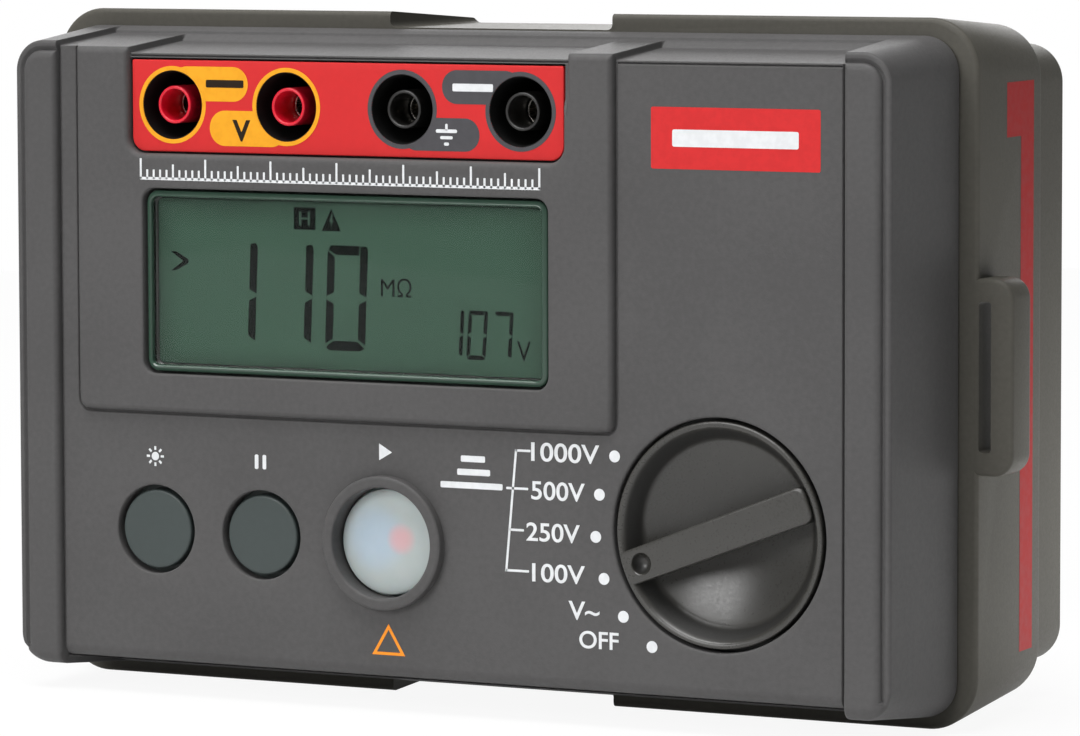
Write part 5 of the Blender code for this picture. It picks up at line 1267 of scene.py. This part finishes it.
class TESTER_OT_print(bpy.types.Operator):
    """Add the dial dots and numbers, the key signs and the other print on the face"""

    bl_idname = "tester.print"
    bl_label = "Print"

    def execute(self, context):
        colours, sizes = context.scene.tester_colours, context.scene.tester_sizes
        pale, orange = printed("face_print", colours.print), printed("orange_print", colours.orange)
        dots = []
        for turn in range(DOTS):
            angle = radians(FIRST_DOT + DOT_STEP * turn)
            x = KNOB_X + mm(sizes.dot_circle) * cos(angle)
            z = KNOB_Z + mm(sizes.dot_circle) * sin(angle)
            dots += inked(disc_outline(x, z, mm(sizes.dot) / 2, 32))
        piece("dial_dots", dots, pale)
        words = (
            ("1000V", 14.7, 25.5, 37.1, 39.8),
            ("500V", 14.7, 23.2, 31.65, 34.3),
            ("250V", 13.9, 22.4, 25.75, 28.4),
            ("100V", 14.8, 23.2, 20.0, 22.65),
            ("V~", 20.6, 25.5, 14.95, 17.6),
            ("OFF", 22.3, 28.5, 11.0, 13.5),
        )
        piece("dial_words", [lettering(*word, 0.0, 0.012) for word in words], pale, sharp=20)
        scale = strip(-49.0, 16.8, SCALE_FOOT, SCALE_FOOT + 0.4, -RAISED, 0.1)
        for mark in range(SCALE_MARKS):
            x = SCALE_LEFT + mark * SCALE_PITCH
            tall = 3.1 if mark % 10 == 0 else 2.3 if mark % 5 == 0 else 1.5
            scale += strip(x - 0.16, x + 0.16, SCALE_FOOT + 0.1, SCALE_FOOT + tall, -RAISED, 0.08)
        piece("title_scale", scale, pale)
        centre = np.array([KEYS["light"][0], SIGN_Z])
        signs = inked(disc_outline(*centre, 0.62, 24))
        start, end, half = 0.92, 1.45, 0.16  # of each ray, outwards from the centre, and its half width
        for turn in range(8):
            way = np.array([cos(turn * pi / 4), sin(turn * pi / 4)])
            side = np.array([-way[1], way[0]]) * half
            ray = [way * start - side, way * end - side, way * end + side, way * start + side]
            signs += inked(centre + np.array(ray))
        x = KEYS["hold"][0]
        signs += strips([(x - 0.95, x - 0.35, 33.9, 36.0), (x + 0.35, x + 0.95, 33.9, 36.0)])
        signs += inked([(TEST_X - 0.9, 36.1), (TEST_X + 1.2, 37.3), (TEST_X - 0.9, 38.5)])
        piece("key_signs", signs, pale)
        half = mm(sizes.line) / 2
        (upper, top), (lower, foot) = (12.3, 38.5 + half), (10.65, 21.4 - half)
        lean = (upper - half, top), (lower - half, foot), (lower + half, foot), (upper + half, top)
        ticks = (12.2, 14.6, 38.5), (10.7, 14.2, 33.1), (11.2, 13.5, 27.2), (10.6, 14.3, 21.4)
        bracket = inked(lean) + strips([(x0, x1, z - half, z + half) for x0, x1, z in ticks], radius=0.1)
        bracket += strips([(3.4, 7.3, 36.5, 37.4), (2.8, 8.1, 34.6, 35.5), (0.1, 10.1, 32.7, 33.6)])
        piece("voltage_bracket", bracket, pale)
        outer = np.array([(-11.2, 8.1), (-5.8, 8.1), (-8.5, 12.6)])
        inner = outer.mean(0) + (outer - outer.mean(0)) * 0.72
        rows = [(outer, -FILM), (inner, -FILM), (inner, SUNK), (outer, SUNK), (outer, -FILM)]
        piece("key_triangle", loft(rows, ends=False), orange)
        block = printed("corner_block", colours.sheet)
        piece("corner_patch", strip(33.7, 59.7, 78.8, 87.4, radius=0.3), block)
        piece("corner_bar", strip(37.0, 56.4, 81.9, 84.3, -FILM, 0.3), pale)
        return {"FINISHED"}


class TESTER_OT_inside(bpy.types.Operator):
    """Give the boards, cells, screws and other inner parts their finishes"""

    bl_idname = "tester.inside"
    bl_label = "Inner Parts"

    def execute(self, context):
        colours = context.scene.tester_colours
        looks = {
            "case_grey": moulded("inner_grey", colours.face),
            "shell_grey": moulded("inner_shell", colours.shell),
            "knob_grey": moulded("inner_knob", colours.knob, 0.4),
            "input_red": moulded("inner_red", colours.sheet, 0.4),
            "socket_red": moulded("inner_socket_red", colours.red_sleeve, 0.4),
            "socket_black": moulded("inner_socket_black", tint(0x1A1918), 0.4),
            "window_clear": clear("inner_clear", (0.97, 1.0, 0.98)),
            "glass_green": moulded("inner_green", colours.screen, 0.3),
            "light_white": milky("light_white", (0.75, 0.78, 0.76)),
            "cap_slate": moulded("inner_slate", colours.cap),
            "cap_milk": milky("inner_milk", colours.milk),
            "lamp_clear": clear("lamp_clear", (0.95, 0.6, 0.55), 0.08),
            "board_green": board("board_green", tint(0x1F5A3A)),
            "part_black": moulded("part_black", tint(0x17181A), 0.45, 1800, 0.01),
            "part_blue": moulded("part_blue", tint(0x2B5F9E), 0.35, 1800, 0.008),
            "nickel": metal("nickel", (0.66, 0.64, 0.6), 0.25),
            "brass": metal("brass", (0.72, 0.52, 0.25), 0.28),
            "steel": metal("steel", (0.5, 0.5, 0.5), 0.32),
            "cell_sleeve": wrapped("cell_sleeve", tint(0x26282B)),
        }
        for entry in frame["record"]["subparts"]:
            node = frame["nodes"][entry["node"]]
            node.data.materials.clear()
            node.data.materials.append(looks[entry["material_slot"]])
        return {"FINISHED"}


class TESTER_OT_stage(bpy.types.Operator):
    """Add the floor, the soft lights, the white surroundings and the camera"""

    bl_idname = "tester.stage"
    bl_label = "Stage"

    def execute(self, context):
        scene = context.scene
        scene.view_settings.view_transform = "Standard"
        shape = mesh_from("floor", prism(disc_outline(0, 0, FLOOR_RADIUS, 96), 0, 1))
        drop = Matrix.Translation((0, 0, -(PANEL + 1) * MM - FLOOR_GAP))
        shape.transform(drop @ Matrix.Rotation(pi / 2, 4, "X"))
        shape.materials.append(floor_look())
        floor = bpy.data.objects.new("floor", shape)
        scene.collection.objects.link(floor)
        surroundings(scene)
        for name, place, size, power, aim in LAMPS:
            lamp = bpy.data.lights.new(name, "AREA")
            lamp.shape, lamp.size, lamp.size_y, lamp.energy = "RECTANGLE", *size, power
            item = bpy.data.objects.new(name, lamp)
            item.location = place
            item.rotation_euler = (Vector(aim) - Vector(place)).to_track_quat("-Z", "Y").to_euler()
            item.visible_glossy = name != "low"
            item.visible_camera = False
            scene.collection.objects.link(item)
        view = bpy.data.cameras.new("camera")
        view.lens, view.sensor_width = LENS, SENSOR
        view.clip_start, view.clip_end = CLIP
        camera = bpy.data.objects.new("camera", view)
        right, up = Vector(CAMERA_RIGHT), Vector(CAMERA_UP)
        turn = Matrix((right, up, right.cross(up))).transposed().to_4x4()
        camera.matrix_world = Matrix.Translation(CAMERA_PLACE) @ turn
        scene.collection.objects.link(camera)
        scene.camera = camera
        return {"FINISHED"}


FLOOR_RADIUS = 900  # millimetres
FLOOR_GAP = 0.0002  # below the lowest point, in metres
LENS, SENSOR = 198.96, 36.0  # millimetres
CLIP = 0.01, 20  # nearest and furthest that the camera sees, in metres
CAMERA_PLACE = 0.408142, -0.768419, 0.122703
CAMERA_RIGHT, CAMERA_UP = (0.883497, 0.468428, -0.002755), (-0.037964, 0.077462, 0.996272)
# Each soft light's name, place, width and height, power in watts and the point it faces.
LAMPS = (
    ("key", (-0.55, -1.95, 1.0), (1.2, 1.0), 26.5, (0, 0, 0.05)),
    ("top", (-0.1, -0.3, 1.3), (1.2, 0.8), 23.0, (0, 0, 0.05)),
    ("low", (0.132, 0.07, 0.022), (0.08, 0.04), 0.06, (0.11, 0.05, 0.0)),
    ("rear", (-0.9, 1.8, 0.7), (1.6, 1.0), 14.0, (0, 0, 0.05)),
)


def floor_look():
    """A white floor that glows evenly to the eye and keeps a soft shadow."""
    look = Look("floor_white")
    cloud = look.noise(3.0, 2.0)
    base = look.mixed(cloud, (0.78, 0.78, 0.78), (0.82, 0.82, 0.82))
    matt = look.node("ShaderNodeBsdfDiffuse", None, {"Color": base})
    glow = look.node("ShaderNodeEmission", None, {"Color": (1, 1, 1, 1), "Strength": 1.0})
    return look.close(look.node("ShaderNodeMixShader", None, {0: seen(look, 0.92, 0.5), 1: matt, 2: glow}))


def seen(look, eye, mirror):
    """One share for what the eye or a clear piece shows, one for a reflection and 0 for what gives light."""
    rays = ("Camera", "Transmission", "Glossy")
    direct, through, mirrored = (look.node("ShaderNodeLightPath", output=f"Is {ray} Ray") for ray in rays)
    return (direct + through) * eye + mirrored * mirror


def surroundings(scene):
    """White all round to the eye, a dim grey for light."""
    sky = Nodes(bpy.data.worlds.new("surroundings"))
    grey = sky.node("ShaderNodeBackground", None, {"Color": (0.95, 0.98, 1.0, 1), "Strength": 0.05})
    white = sky.node("ShaderNodeBackground", None, {"Color": (1, 1, 1, 1), "Strength": 1.0})
    mix = sky.node("ShaderNodeMixShader", None, {0: seen(sky, 1.0, 0.2), 1: grey, 2: white})
    scene.world = sky.close(mix, "World")


class TESTER_PT_panel(bpy.types.Panel):
    """Lists the tester's settings and the steps that build it"""

    bl_idname = "TESTER_PT_panel"
    bl_label = "Insulation Tester"
    bl_space_type = "VIEW_3D"
    bl_region_type = "UI"
    bl_category = "Tester"

    def draw(self, context):
        layout = self.layout
        for group in (context.scene.tester_colours, context.scene.tester_sizes):
            column = layout.column()
            for name in group.__annotations__:
                column.prop(group, name)
        for step_class in STEPS:
            layout.operator(step_class.bl_idname)


STEPS = (
    TESTER_OT_inside,
    TESTER_OT_front_shell,
    TESTER_OT_rear_shell,
    TESTER_OT_sockets,
    TESTER_OT_display,
    TESTER_OT_keys,
    TESTER_OT_knob,
    TESTER_OT_print,
    TESTER_OT_stage,
)
CLASSES = (TesterColours, TesterSizes, *STEPS, TESTER_PT_panel)


def register():
    """Registers the classes and hangs the settings on the scene."""
    for each in CLASSES:
        bpy.utils.register_class(each)
    bpy.types.Scene.tester_colours = bpy.props.PointerProperty(type=TesterColours)
    bpy.types.Scene.tester_sizes = bpy.props.PointerProperty(type=TesterSizes)


def unregister():
    """Undoes register."""
    del bpy.types.Scene.tester_sizes
    del bpy.types.Scene.tester_colours
    for each in reversed(CLASSES):
        bpy.utils.unregister_class(each)


def main():
    """Builds every piece in order."""
    register()
    for name in (each.bl_idname.split(".")[1] for each in STEPS):
        getattr(bpy.ops.tester, name)()


if __name__ == "__main__":
    main()
